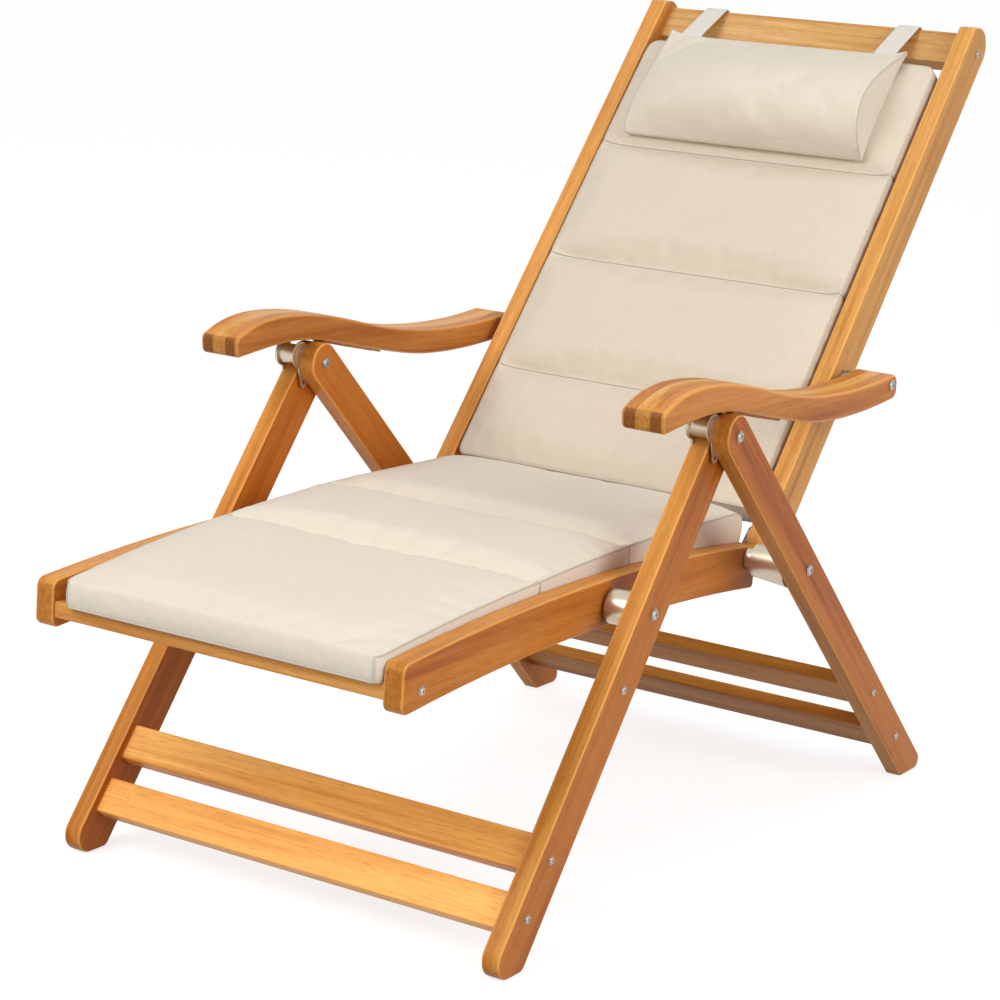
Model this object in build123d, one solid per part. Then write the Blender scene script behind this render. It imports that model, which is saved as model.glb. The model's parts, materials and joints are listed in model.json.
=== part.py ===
from build123d import *
import os
from math import acos, cos, degrees, atan2, radians, sin, sqrt, tan

# A folding garden armchair with a reclining back, in millimetres.
# X runs to the sitter's left, Y to the back and Z up. Every board is cut to an outline
# in a plane square to X, so places on it are given as (y, z).
# The rear leg frame is as wide as the front one and stands one leg thickness further
# to the sitter's left, so that the two frames pass each other when the chair folds.

# Widths across the chair
seat_width = 446
rail_thickness = 26
stile_thickness = 25
leg_thickness = 24
leg_gap = 2
side_gap = 2
hinge_plate_thickness = 5
hinge_washer_thickness = 3
arm_spacer_length = 13
arm_strip_width = 19
arm_strip_count = 3

# Seat rails, with the crown of their arch as the place to measure from
crown_y = -215
crown_height = 393
rail_radius = 3900
rail_depth = 56
rail_front_reach = 385
rail_rear_reach = 411
rail_end_radius = 11
rail_tail_radius = 6

# Front legs
seat_pivot = (-178.7, 362)
front_leg_angle = 52.85
front_leg_width = 58.7
front_leg_top_reach = 235
front_foot_toe_radius = 22
front_foot_heel_radius = 12

# Rear legs
leg_pivot = (-52, 557)
rear_leg_angle = -41.3
rear_leg_width = 51
rear_leg_top_radius = 25.5
rear_foot_toe_radius = 3
rear_foot_heel_radius = 12

# Back stiles
back_pivot = (230, 369)
stile_angle = 50.7
stile_depth = 58.8
stile_top_height = 1019.5
stile_top_radius = 28

# Boards between the legs, placed along the leg from the pivots
slat_width = 44
front_slat_thickness = 24
front_slat_setback = 10
front_slat_drops = (312, 383)
rear_slat_width = 56
rear_slat_thickness = 18
rear_slat_setback = 17
rear_slat_drops = (621, 744)

# Seat boards
crossbar_thickness = 19
crossbar_width = 58
crossbar_setback = 3
slat_drop = 24
slat_tail_radius = 14000
seat_slat_count = 7
seat_slat_width = 46
seat_slat_thickness = 14
seat_slat_first_setback = 89
seat_slat_pitch = 95
housing_depth = 6

# Back boards
top_bar_width = 52
top_bar_thickness = 22
top_bar_reach = 797
top_bar_setback = 3.6
back_slat_count = 5
back_slat_width = 48
back_slat_thickness = 12
back_slat_first_share = 0.138
back_slat_pitch_share = 0.1757

# Armrests: shares of the length from the front end, and of the thickness over the bolt
arm_tail_setback = 36
arm_length = 660
arm_thickness = 33
arm_bolt_reach = 255.7
arm_nose_radius = 8
arm_tail_radius = 12
arm_top_shares = (
    (0.011, 1.05), (0.08, 1.56), (0.185, 1.697), (0.322, 1.394),
    (0.5, 0.65), (0.68, 0.235), (0.82, 0.195), (0.975, 0.424),
)
arm_bottom_shares = (
    (0.015, 0.333), (0.1, 0.53), (0.176, 0.64), (0.27, 0.55), (0.373, 0.17),
    (0.5, -0.32), (0.62, -0.70), (0.76, -0.83), (0.89, -0.73), (0.98, -0.57),
)
track_thickness = 3
track_inset = 3
track_start = 215
track_length = 130
notch_radius = 8
notch_depth = 2
notch_count = 5
notch_pitch = 24

# Metal hubs on the tops of the front legs
hub_centre = (-78, 567)
hub_radius = 17
hub_drum_radius = 14
hub_free_cheek = 4
hub_blocked_cheek = 1.2
hub_tail = (-68, 531)
hub_tail_radius = 8

# Pivot hardware
bolt_radius = 4
running_clearance = 0.05
bolt_head_radius = 8
bolt_head_height = 3.5
nut_radius = 7.5
nut_height = 5
nut_room = 1.5
washer_radius = 8.5
spacer_radius = 10
seat_bush_radius = 21
seat_bush_waist_radius = 16
seat_bush_flange = 6
rear_bush_reach = 301
rear_bush_wide_radius = 27
rear_bush_narrow_radius = 22
rear_bush_neck_radius = 14
rear_bush_neck_length = 12
rear_bush_end_gap = 1
hinge_pin_radius = 5
hinge_pin_head_radius = 9
hinge_pin_head_height = 3.5
hinge_plate_reach = 88
hinge_plate_drop = 26
hinge_plate_front_radius = 12
hinge_plate_rear_radius = 17
hinge_knee_reach = 25
hinge_knee_drop = 22
hinge_knee_radius = 14
hinge_screw_spacing = 28

# Screws
screw_radius = 2.5
screw_head_radius = 6
screw_head_height = 3
screw_length = 60
short_screw_length = 22
plate_screw_length = 18
plate_screw_head_height = 1.5
plate_screw_head_radius = 4
lone_screw_drop = 97.5
rail_screw_setback = 33.4

# Cushions
soft_gap = 0.3
cushion_side_gap = 0.5
seat_pad_front = 6
seat_pad_rear_y = 198
seat_pad_thickness = 42
seat_pad_crown = 9
seat_pad_seams = (-290, -87)
seat_pad_thickness_shares = (0.72, 0.86, 1.08, 1.15)
back_pad_side_gap = 5
back_pad_start = 31.6
back_pad_top_gap = 55.4
back_pad_thickness = 44
back_pad_depth = 37
back_pad_crown = 8
back_pad_seam_shares = (0.2327, 0.4876, 0.7519)
back_pad_thickness_shares = (0.9, 0.97, 0.97, 0.97, 0.9)
seam_depth = 4
pad_side_shares = (
    (-1, 0.9, 0), (-0.93, 1, 0.55), (-0.6, 1, 1),
    (0.6, 1, 1), (0.93, 1, 0.55), (1, 0.9, 0),
)

# Head pillow and its straps
pillow_width_share = 0.4126
pillow_length = 188
pillow_top_gap = 43
pillow_thickness = 76
pillow_hem = 10
pillow_back_share = 0.42
pillow_taper_share = 0.015
pillow_x_shift = -4
pillow_side_shares = ((-1, 0.22), (-0.9, 0.68), (-0.6, 0.95), (0.6, 0.95), (0.9, 0.68), (1, 0.22))
strap_width = 32
strap_thickness = 2
strap_place_share = 0.3408
strap_tail = 60

# Softened edges
board_edge_radius = 3
slat_edge_radius = 2.5
arm_edge_radius = 5
overrun = 5

# Places across the chair, worked out from the widths
rail_inner = seat_width / 2
rail_outer = rail_inner + rail_thickness
stile_inner = rail_inner + hinge_plate_thickness + hinge_washer_thickness
stile_outer = stile_inner + stile_thickness
rear_frame_inner_right = stile_outer + side_gap
front_frame_inner = rear_frame_inner_right + leg_thickness + leg_gap
front_frame_outer = front_frame_inner + leg_thickness
rear_frame_inner_left = front_frame_outer + leg_gap
arm_inner = stile_outer + arm_spacer_length
arm_outer = arm_inner + arm_strip_width * arm_strip_count
back_pad_half_width = stile_inner - back_pad_side_gap
pillow_half_width = seat_width * pillow_width_share
strap_x = seat_width * strap_place_share

# Places along the back, worked out from the top crossbar's
back_slat_first = top_bar_reach * back_slat_first_share
back_slat_pitch = top_bar_reach * back_slat_pitch_share
back_pad_end = top_bar_reach - back_pad_top_gap
back_pad_seams = [back_pad_end * share for share in back_pad_seam_shares]
pillow_end = top_bar_reach - pillow_top_gap
pillow_start = pillow_end - pillow_length

sides = {"left": 1, "right": -1}
rail_front_y = crown_y - rail_front_reach
rail_rear_y = crown_y + rail_rear_reach


def place(start, angle, distance, aside=0):
    """Point reached from start at an angle from +Y towards +Z, and aside to its left."""
    turn = radians(angle)
    y = start[0] + distance * cos(turn) - aside * sin(turn)
    z = start[1] + distance * sin(turn) + aside * cos(turn)
    return (y, z)


def floor_place(start, angle, aside):
    """Point where a line at an angle, moved aside from start, meets the floor."""
    moved = place(start, angle, 0, aside)
    return (moved[0] - moved[1] / tan(radians(angle)), 0)


arm_pivot = place(back_pivot, stile_angle, arm_bolt_reach)
arm_front_y = arm_pivot[0] + arm_tail_setback - arm_length
rear_bush_centre = place(leg_pivot, rear_leg_angle, rear_bush_reach)


def rail_top(y):
    """Height of the rails' upper edge."""
    return crown_height - (y - crown_y) ** 2 / (2 * rail_radius)


def seat_support(y):
    """Height of the seat boards' upper faces, flatter behind the crown."""
    bend_radius = rail_radius if y < crown_y else slat_tail_radius
    return crown_height - slat_drop - (y - crown_y) ** 2 / (2 * bend_radius)


def across(side, near, far):
    """Low and high X of a piece from near to far on one side of the chair."""
    return tuple(sorted((sides[side] * near, sides[side] * far)))


def rear_frame_span(side):
    """Low and high X of a rear leg, which is outside its front leg on the left only."""
    if side == "left":
        return (rear_frame_inner_left, rear_frame_inner_left + leg_thickness)
    return (-rear_frame_inner_right - leg_thickness, -rear_frame_inner_right)


def rod(centre, radius, x_low, x_high):
    """Round bar along X."""
    start = Plane(origin=(x_low, centre[0], centre[1]), x_dir=(0, 1, 0), z_dir=(1, 0, 0))
    return extrude(start * Circle(radius), amount=x_high - x_low)


def ring(centre, radius, hole_radius, x_low, x_high):
    """Washer, bush or sleeve along X."""
    hole = rod(centre, hole_radius, x_low - overrun, x_high + overrun)
    return rod(centre, radius, x_low, x_high) - hole


def cone(centre, low_radius, high_radius, x_low, x_high):
    """Tapered round bar along X."""
    low = Plane(origin=(x_low, centre[0], centre[1]), x_dir=(0, 1, 0), z_dir=(1, 0, 0))
    high = Plane(origin=(x_high, centre[0], centre[1]), x_dir=(0, 1, 0), z_dir=(1, 0, 0))
    return loft([low * Circle(low_radius), high * Circle(high_radius)])


def thicken(edges, x_low, x_high):
    """Solid from a closed outline drawn at x_low, up to x_high."""
    return extrude(Face(Wire(edges)), amount=x_high - x_low, dir=(1, 0, 0))


def rounded_outline(corners, x):
    """Closed outline through (place, radius) corners, each rounded by its radius."""
    points = [Vector(x, *corner) for corner, _ in corners]
    arcs = []
    for index, (_, radius) in enumerate(corners):
        corner = points[index]
        to_last = (points[index - 1] - corner).normalized()
        to_next = (points[(index + 1) % len(points)] - corner).normalized()
        half_angle = radians(to_last.get_angle(to_next)) / 2
        inward = (to_last + to_next).normalized()
        along = radius / tan(half_angle)
        middle = corner + inward * (radius / sin(half_angle) - radius)
        arcs.append((corner + to_last * along, middle, corner + to_next * along))
    edges = []
    for index, (start, middle, end) in enumerate(arcs):
        edges.append(ThreePointArc(start, middle, end).edge())
        following = arcs[(index + 1) % len(arcs)][0]
        if (following - end).length > running_clearance:
            edges.append(Line(end, following).edge())
    return edges


def soften_sides(solid, radius):
    """Rounds the edges round both faces that are square to X."""
    faces = solid.faces().filter_by(Axis.X).sort_by(Axis.X)
    return fillet(faces[0].edges() + faces[-1].edges(), radius)


def board(corners, span, radius):
    """Board cut to a rounded outline, with softened edges."""
    low, high = span
    return soften_sides(thicken(rounded_outline(corners, low), low, high), radius)


def bar(centre, angle, width, thickness, x_low, x_high, radius):
    """Straight bar along X, its width along the angle, with softened long edges."""
    base = Plane(
        origin=(x_low, centre[0], centre[1]),
        x_dir=(0, cos(radians(angle)), sin(radians(angle))),
        z_dir=(1, 0, 0),
    )
    solid = extrude(base * Rectangle(width, thickness), amount=x_high - x_low)
    return fillet(solid.edges().filter_by(Axis.X), radius)


def plain_bar(centre, angle, width, thickness, x_low, x_high):
    """Straight bar along X with sharp edges, used to cut housings."""
    base = Plane(
        origin=(x_low, centre[0], centre[1]),
        x_dir=(0, cos(radians(angle)), sin(radians(angle))),
        z_dir=(1, 0, 0),
    )
    return extrude(base * Rectangle(width, thickness), amount=x_high - x_low)


def strap_plate(first, first_radius, second, second_radius, x_low, x_high):
    """Plate round two circles and the straight lines that touch both."""
    base = atan2(second[1] - first[1], second[0] - first[0])
    distance = sqrt((second[0] - first[0]) ** 2 + (second[1] - first[1]) ** 2)
    spread = acos((first_radius - second_radius) / distance)

    def rim(centre, radius, turn):
        return Vector(x_low, centre[0] + radius * cos(turn), centre[1] + radius * sin(turn))

    start = rim(first, first_radius, base + spread)
    back = rim(first, first_radius, base + radians(180))
    end = rim(first, first_radius, base - spread)
    far_start = rim(second, second_radius, base - spread)
    far_middle = rim(second, second_radius, base)
    far_end = rim(second, second_radius, base + spread)
    edges = [
        ThreePointArc(start, back, end).edge(),
        Line(end, far_start).edge(),
        ThreePointArc(far_start, far_middle, far_end).edge(),
        Line(far_end, start).edge(),
    ]
    return thicken(edges, x_low, x_high)


def drill(solid, centre, radius, span):
    """Piece with a round hole along X through the given span."""
    low, high = span
    return solid - rod(centre, radius + running_clearance, low - overrun, high + overrun)


def screw(centre, face_x, inward, length, head_radius, head_height, radius=screw_radius):
    """Screw whose head lies on a face at face_x and whose shank runs inward (+1 or -1)."""
    head = sorted((face_x, face_x - inward * head_height))
    shank = sorted((face_x, face_x + inward * length))
    dome = rod(centre, head_radius, *head)
    outer = dome.faces().filter_by(Axis.X).sort_by(Axis.X)[0 if inward > 0 else -1]
    dome = fillet(outer.edges(), head_height / 2)
    return dome + rod(centre, radius, *shank)


nodes = {}


def keep(name, solids):
    """Stores one named piece, or a group of like pieces."""
    group = solids if isinstance(solids, list) else [solids]
    flat = []
    for item in group:
        flat.extend(item.solids())
    nodes[name] = flat


# Front leg frame
leg_half = front_leg_width / 2
front_top = front_leg_top_reach + leg_half
front_leg_corners = [
    (floor_place(seat_pivot, front_leg_angle, leg_half), front_foot_toe_radius),
    (floor_place(seat_pivot, front_leg_angle, -leg_half), front_foot_heel_radius),
    (place(seat_pivot, front_leg_angle, front_top, -leg_half), leg_half),
    (place(seat_pivot, front_leg_angle, front_top, leg_half), leg_half),
]
front_slat_aside = leg_half - front_slat_setback - front_slat_thickness / 2
front_slat_places = [
    place(seat_pivot, front_leg_angle, -drop, front_slat_aside) for drop in front_slat_drops
]
lone_screw_place = place(seat_pivot, front_leg_angle, -lone_screw_drop)


def make_front_leg(side):
    """Front leg with its bolt and screw holes."""
    span = across(side, front_frame_inner, front_frame_outer)
    leg = board(front_leg_corners, span, board_edge_radius)
    leg = drill(leg, hub_centre, hub_drum_radius, span)
    for centre in (seat_pivot, leg_pivot):
        leg = drill(leg, centre, bolt_radius, span)
    for centre in front_slat_places:
        leg = drill(leg, centre, screw_radius, span)
    leg = drill(leg, lone_screw_place, screw_radius, span)
    return drill(leg, hub_tail, screw_radius, span)


def make_front_slat(centre):
    """Board between the front legs, drilled at both ends for its screws."""
    span = (-front_frame_inner, front_frame_inner)
    slat = bar(centre, front_leg_angle, slat_width, front_slat_thickness, *span, slat_edge_radius)
    return drill_ends(slat, centre, span)


def drill_ends(slat, centre, span):
    """Bar with a screw hole in each end, as deep as the screw reaches past the leg."""
    depth = screw_length - leg_thickness
    radius = screw_radius + running_clearance
    low, high = span
    slat -= rod(centre, radius, low - overrun, low + depth + overrun)
    return slat - rod(centre, radius, high - depth - overrun, high + overrun)


def make_leg_top_hub(side):
    """Round metal hub at the top of a front leg, held by a cheek on each face."""
    sign = sides[side]
    inner, outer = front_frame_inner, front_frame_outer
    if side == "left":
        cheeks = {inner: -hub_free_cheek, outer: hub_blocked_cheek}
    else:
        cheeks = {inner: -hub_blocked_cheek, outer: hub_free_cheek}
    hub = rod(hub_centre, hub_drum_radius, *across(side, inner, outer))
    for face, growth in cheeks.items():
        low, high = sorted((sign * face, sign * (face + growth)))
        hub += strap_plate(hub_centre, hub_radius, hub_tail, hub_tail_radius, low, high)
    return drill(hub, hub_tail, screw_radius, across(side, inner, outer))


for side in sides:
    keep(f"front_leg_{side}", make_front_leg(side))
    keep(f"leg_top_hub_{side}", make_leg_top_hub(side))
for name, centre in zip(("upper", "lower"), front_slat_places):
    keep(f"front_slat_{name}", make_front_slat(centre))

# Rear leg frame
rear_half = rear_leg_width / 2
rear_leg_corners = [
    (place(leg_pivot, rear_leg_angle, -rear_leg_top_radius, -rear_half), rear_leg_top_radius),
    (floor_place(leg_pivot, rear_leg_angle, -rear_half), rear_foot_toe_radius),
    (floor_place(leg_pivot, rear_leg_angle, rear_half), rear_foot_heel_radius),
    (place(leg_pivot, rear_leg_angle, -rear_leg_top_radius, rear_half), rear_leg_top_radius),
]
rear_slat_aside = rear_slat_setback + rear_slat_thickness / 2 - rear_half
rear_slat_places = [
    place(leg_pivot, rear_leg_angle, drop, rear_slat_aside) for drop in rear_slat_drops
]


def make_rear_leg(side):
    """Rear leg with its bolt and screw holes."""
    span = rear_frame_span(side)
    leg = board(rear_leg_corners, span, board_edge_radius)
    for centre in (leg_pivot, rear_bush_centre):
        leg = drill(leg, centre, bolt_radius, span)
    for centre in rear_slat_places:
        leg = drill(leg, centre, screw_radius, span)
    return leg


def make_rear_slat(centre):
    """Board between the rear legs, drilled at both ends for its screws."""
    span = (-rear_frame_inner_right, rear_frame_inner_left)
    slat = bar(
        centre, rear_leg_angle, rear_slat_width, rear_slat_thickness, *span, slat_edge_radius
    )
    return drill_ends(slat, centre, span)


for side in sides:
    keep(f"rear_leg_{side}", make_rear_leg(side))
for name, centre in zip(("upper", "lower"), rear_slat_places):
    keep(f"rear_slat_{name}", make_rear_slat(centre))

# Seat frame
hinge_plate_front = (
    back_pivot[0] - hinge_plate_reach,
    back_pivot[1] - hinge_plate_drop,
)
crossbar_front_y = rail_front_y + crossbar_setback
crossbar_centre = (
    crossbar_front_y + crossbar_width / 2,
    rail_top(crossbar_front_y) - slat_drop - crossbar_thickness / 2,
)
rail_screw_place = (rail_front_y + rail_screw_setback, crossbar_centre[1])


def seat_slat_place(index):
    """Centre and angle of one seat board."""
    y = rail_front_y + seat_slat_first_setback + index * seat_slat_pitch
    step = seat_slat_width / 2
    slope = degrees(atan2(seat_support(y + step) - seat_support(y - step), 2 * step))
    return (y, seat_support(y) - seat_slat_thickness / 2), slope


seat_slat_places = [seat_slat_place(index) for index in range(seat_slat_count)]


def rail_blank(x_low, x_high):
    """Arched board between two arcs, before its ends are rounded."""
    middle_y = (rail_front_y + rail_rear_y) / 2
    top = [Vector(x_low, y, rail_top(y)) for y in (rail_front_y, middle_y, rail_rear_y)]
    bottom = [point - Vector(0, 0, rail_depth) for point in top]
    edges = [
        ThreePointArc(*top).edge(),
        Line(top[-1], bottom[-1]).edge(),
        ThreePointArc(*bottom[::-1]).edge(),
        Line(bottom[0], top[0]).edge(),
    ]
    return thicken(edges, x_low, x_high)


def make_seat_rail(side):
    """Seat rail with housings for the seat boards and a pocket for the hinge plate."""
    span = across(side, rail_inner, rail_outer)
    rail = rail_blank(*span)
    ends = rail.edges().filter_by(Axis.X).sort_by(Axis.Y)
    rail = fillet(ends[0:2], rail_end_radius)
    ends = rail.edges().filter_by(Axis.X).sort_by(Axis.Y)
    rail = fillet(ends[-2:], rail_tail_radius)
    rail = soften_sides(rail, board_edge_radius)
    housing = across(side, rail_inner - overrun, rail_inner + housing_depth)
    for centre, slope in seat_slat_places:
        rail -= plain_bar(centre, slope, seat_slat_width, seat_slat_thickness, *housing)
    pocket = across(side, rail_inner - overrun, rail_inner + hinge_plate_thickness)
    rail -= hinge_shape(running_clearance, pocket)
    nut_pocket = across(side, rail_inner - overrun, rail_inner + nut_height + soft_gap)
    rail -= rod(seat_pivot, nut_radius + nut_room, *nut_pocket)
    rail = drill(rail, seat_pivot, bolt_radius, span)
    rail = drill(rail, rail_screw_place, screw_radius, span)
    for centre in hinge_screw_places:
        rail -= rod(centre, screw_radius + running_clearance,
                    *across(side, rail_inner, rail_inner + plate_screw_length + overrun))
    return rail


hinge_knee = (back_pivot[0] - hinge_knee_reach, back_pivot[1] - hinge_knee_drop)
plate_angle = degrees(atan2(hinge_knee[1] - hinge_plate_front[1], hinge_knee[0] - hinge_plate_front[0]))
hinge_screw_places = [
    hinge_plate_front,
    place(hinge_plate_front, plate_angle, hinge_screw_spacing),
]


def hinge_shape(growth, span):
    """Cranked plate that stays inside the rail and climbs to the back's pivot behind it."""
    knee_radius = hinge_knee_radius + growth
    arm = strap_plate(
        hinge_plate_front, hinge_plate_front_radius + growth, hinge_knee, knee_radius, *span
    )
    return arm + strap_plate(
        hinge_knee, knee_radius, back_pivot, hinge_plate_rear_radius + growth, *span
    )


def make_hinge_plate(side):
    """Steel plate let into the rail's inner face, reaching back to the back's pivot."""
    span = across(side, rail_inner, rail_inner + hinge_plate_thickness)
    plate = hinge_shape(0, span)
    plate = drill(plate, back_pivot, hinge_pin_radius, span)
    for centre in hinge_screw_places:
        plate = drill(plate, centre, screw_radius, span)
    return plate


def make_crossbar():
    """Flat board between the front ends of the rails."""
    span = (-rail_inner, rail_inner)
    crossbar = bar(crossbar_centre, 0, crossbar_width, crossbar_thickness, *span, slat_edge_radius)
    depth = screw_length - rail_thickness + overrun
    radius = screw_radius + running_clearance
    for low, high in ((-rail_inner, depth - rail_inner), (rail_inner - depth, rail_inner)):
        crossbar -= rod(rail_screw_place, radius, low, high)
    return crossbar


for side in sides:
    keep(f"seat_rail_{side}", make_seat_rail(side))
    keep(f"hinge_plate_{side}", make_hinge_plate(side))
keep("seat_front_crossbar", make_crossbar())
for index, (centre, slope) in enumerate(seat_slat_places):
    half_length = rail_inner + housing_depth
    slat = plain_bar(centre, slope, seat_slat_width, seat_slat_thickness, -half_length, half_length)
    keep(f"seat_slat_{index + 1}", slat)

# Back frame
stile_half = stile_depth / 2
stile_top_front = floor_place(
    (back_pivot[0], back_pivot[1] - stile_top_height), stile_angle, stile_half
)
stile_top_back = floor_place(
    (back_pivot[0], back_pivot[1] - stile_top_height), stile_angle, -stile_half
)
stile_corners = [
    (place(back_pivot, stile_angle, -stile_half, stile_half), stile_half),
    (place(back_pivot, stile_angle, -stile_half, -stile_half), stile_half),
    ((stile_top_back[0], stile_top_height), stile_top_radius),
    ((stile_top_front[0], stile_top_height), board_edge_radius),
]
top_bar_place = place(back_pivot, stile_angle, top_bar_reach, -top_bar_setback)
back_pad_back = stile_half - back_pad_depth
back_slat_aside = back_pad_back - back_slat_thickness / 2 - soft_gap
back_slat_places = [
    place(back_pivot, stile_angle, back_slat_first + index * back_slat_pitch, back_slat_aside)
    for index in range(back_slat_count)
]


def make_back_stile(side):
    """Long side board of the back, with housings for the back boards."""
    span = across(side, stile_inner, stile_outer)
    stile = board(stile_corners, span, board_edge_radius)
    stile = drill(stile, back_pivot, hinge_pin_radius, span)
    stile = drill(stile, arm_pivot, bolt_radius, span)
    stile = drill(stile, top_bar_place, screw_radius, span)
    nut_pocket = across(side, stile_inner - overrun, stile_inner + nut_height)
    stile -= rod(arm_pivot, nut_radius + nut_room, *nut_pocket)
    housing = across(side, stile_inner - overrun, stile_inner + housing_depth)
    for centre in back_slat_places:
        stile -= plain_bar(centre, stile_angle, back_slat_width, back_slat_thickness, *housing)
    return stile


def make_top_crossbar():
    """Board between the tops of the stiles."""
    span = (-stile_inner, stile_inner)
    crossbar = bar(
        top_bar_place, stile_angle, top_bar_width, top_bar_thickness, *span, slat_edge_radius
    )
    depth = screw_length - stile_thickness + overrun
    radius = screw_radius + running_clearance
    for low, high in ((-stile_inner, depth - stile_inner), (stile_inner - depth, stile_inner)):
        crossbar -= rod(top_bar_place, radius, low, high)
    return crossbar


for side in sides:
    keep(f"back_stile_{side}", make_back_stile(side))
keep("back_top_crossbar", make_top_crossbar())
for index, centre in enumerate(back_slat_places):
    half_length = stile_inner + housing_depth
    slat = plain_bar(
        centre, stile_angle, back_slat_width, back_slat_thickness, -half_length, half_length
    )
    keep(f"back_slat_{index + 1}", slat)


# Armrests
def arm_place(share):
    """Place on the armrest's outline from its shares of length and thickness."""
    return (arm_front_y + share[0] * arm_length, arm_pivot[1] + share[1] * arm_thickness)


def arm_outline(x, drop=0):
    """Wavy outline of an armrest in the plane at x, lowered by drop."""
    top = [Vector(x, *arm_place(share)) - Vector(0, 0, drop) for share in arm_top_shares]
    bottom = [Vector(x, *arm_place(share)) - Vector(0, 0, drop) for share in arm_bottom_shares]
    return [
        Spline(*top).edge(),
        Line(top[-1], bottom[-1]).edge(),
        Spline(*bottom[::-1]).edge(),
        Line(bottom[0], top[0]).edge(),
    ]


def make_arm_strips(side):
    """Three strips glued side by side, with the outer edges softened."""
    whole = thicken(arm_outline(-arm_outer if side == "right" else arm_inner),
                    *across(side, arm_inner, arm_outer))
    ends = whole.edges().filter_by(Axis.X).sort_by(Axis.Y)
    whole = fillet(ends[0:2], arm_nose_radius)
    ends = whole.edges().filter_by(Axis.X).sort_by(Axis.Y)
    whole = fillet(ends[-2:], arm_tail_radius)
    whole = soften_sides(whole, arm_edge_radius)
    whole = drill(whole, arm_pivot, bolt_radius, across(side, arm_inner, arm_outer))
    strips = []
    for index in range(arm_strip_count):
        inner = arm_inner + index * arm_strip_width
        strips.append(whole & slab(across(side, inner, inner + arm_strip_width)))
    return strips


def slab(span):
    """Block round an armrest's whole profile, from the low to the high X of a strip."""
    low, high = span
    width = 2 * arm_length
    centre = Vector((low + high) / 2, arm_front_y + arm_length / 2, arm_pivot[1])
    return Pos(centre) * Box(high - low, width, width)


def make_notch_track(side):
    """Thin notched strip under an armrest, in line with the front leg."""
    inner = front_frame_inner + track_inset
    outer = front_frame_outer - track_inset
    low, high = across(side, inner, outer)
    lowered = thicken(arm_outline(low, track_thickness), low, high)
    armrest = thicken(arm_outline(low - overrun), low - overrun, high + overrun)
    start = arm_front_y + track_start
    window = Pos((low + high) / 2, start + track_length / 2, arm_pivot[1])
    track = (lowered - armrest) & (window * Box(high - low, track_length, arm_length))
    for index in range(notch_count):
        y = start + (track_length - (notch_count - 1) * notch_pitch) / 2 + index * notch_pitch
        surface = arm_underside(y) - track_thickness + notch_depth
        track -= rod((y, surface - notch_radius), notch_radius, low - overrun, high + overrun)
    return track


def arm_underside(y):
    """Height of the armrest's underside at y, read from its outline."""
    points = [arm_place(share) for share in arm_bottom_shares]
    for (start_y, start_z), (end_y, end_z) in zip(points, points[1:]):
        if start_y <= y <= end_y:
            return start_z + (end_z - start_z) * (y - start_y) / (end_y - start_y)
    return points[-1][1]


for side in sides:
    for name, strip in zip(("inner", "middle", "outer"), make_arm_strips(side)):
        keep(f"armrest_{side}_{name}_strip", strip)
    keep(f"notch_track_{side}", make_notch_track(side))
    spacer = ring(
        arm_pivot, spacer_radius, bolt_radius + running_clearance,
        *across(side, stile_outer, arm_inner),
    )
    keep(f"armrest_spacer_{side}", spacer)


# Pivot hardware
def make_bolt(centre, head_face, nut_face, side_sign):
    """Bolt along X with a domed head outside one face and a nut outside the other."""
    length = abs(head_face - nut_face) + nut_height
    bolt = screw(
        centre, head_face, side_sign, length, bolt_head_radius, bolt_head_height, bolt_radius
    )
    nut_end = nut_face + side_sign * nut_height
    nut = ring(centre, nut_radius, bolt_radius + running_clearance, *sorted((nut_face, nut_end)))
    return [bolt, nut]


left_rear_outer = rear_frame_inner_left + leg_thickness
keep("leg_pivot_bolts", [
    *make_bolt(leg_pivot, left_rear_outer, front_frame_inner, -1),
    *make_bolt(leg_pivot, -rear_frame_inner_right, -front_frame_outer, -1),
])
bolt_hole = bolt_radius + running_clearance
keep("leg_pivot_washers", [
    ring(leg_pivot, washer_radius, bolt_hole, front_frame_outer, rear_frame_inner_left),
    ring(leg_pivot, washer_radius, bolt_hole, -front_frame_inner,
         -rear_frame_inner_right - leg_thickness),
])
keep("seat_pivot_bolts", [
    *make_bolt(seat_pivot, front_frame_outer, rail_inner + nut_height, -1),
    *make_bolt(seat_pivot, -front_frame_outer, -rail_inner - nut_height, 1),
])


def make_seat_bush(side):
    """Turned metal bush between rail and front leg, wider at both ends."""
    inner, outer = rail_outer, front_frame_inner
    bush = rod(seat_pivot, seat_bush_waist_radius, *across(side, inner, outer))
    for near, far in ((inner, inner + seat_bush_flange), (outer - seat_bush_flange, outer)):
        bush += rod(seat_pivot, seat_bush_radius, *across(side, near, far))
    return drill(bush, seat_pivot, bolt_radius, across(side, inner, outer))


keep("seat_pivot_bushes", [make_seat_bush(side) for side in sides])


def make_rear_bush_left():
    """Tapered metal bush on the left rear leg, ending just short of the rail."""
    neck_start = rail_outer + rear_bush_end_gap
    cone_start = neck_start + rear_bush_neck_length
    bush = cone(
        rear_bush_centre, rear_bush_narrow_radius, rear_bush_wide_radius,
        cone_start, rear_frame_inner_left,
    )
    bush += rod(rear_bush_centre, rear_bush_neck_radius, neck_start, cone_start)
    return drill(bush, rear_bush_centre, bolt_radius, (neck_start, rear_frame_inner_left))


def make_rear_bush_right():
    """Short bush on the right rear leg, ending just short of the rail."""
    end = -rail_outer - rear_bush_end_gap
    return ring(
        rear_bush_centre, rear_bush_neck_radius, bolt_hole, -rear_frame_inner_right, end
    )


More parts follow.
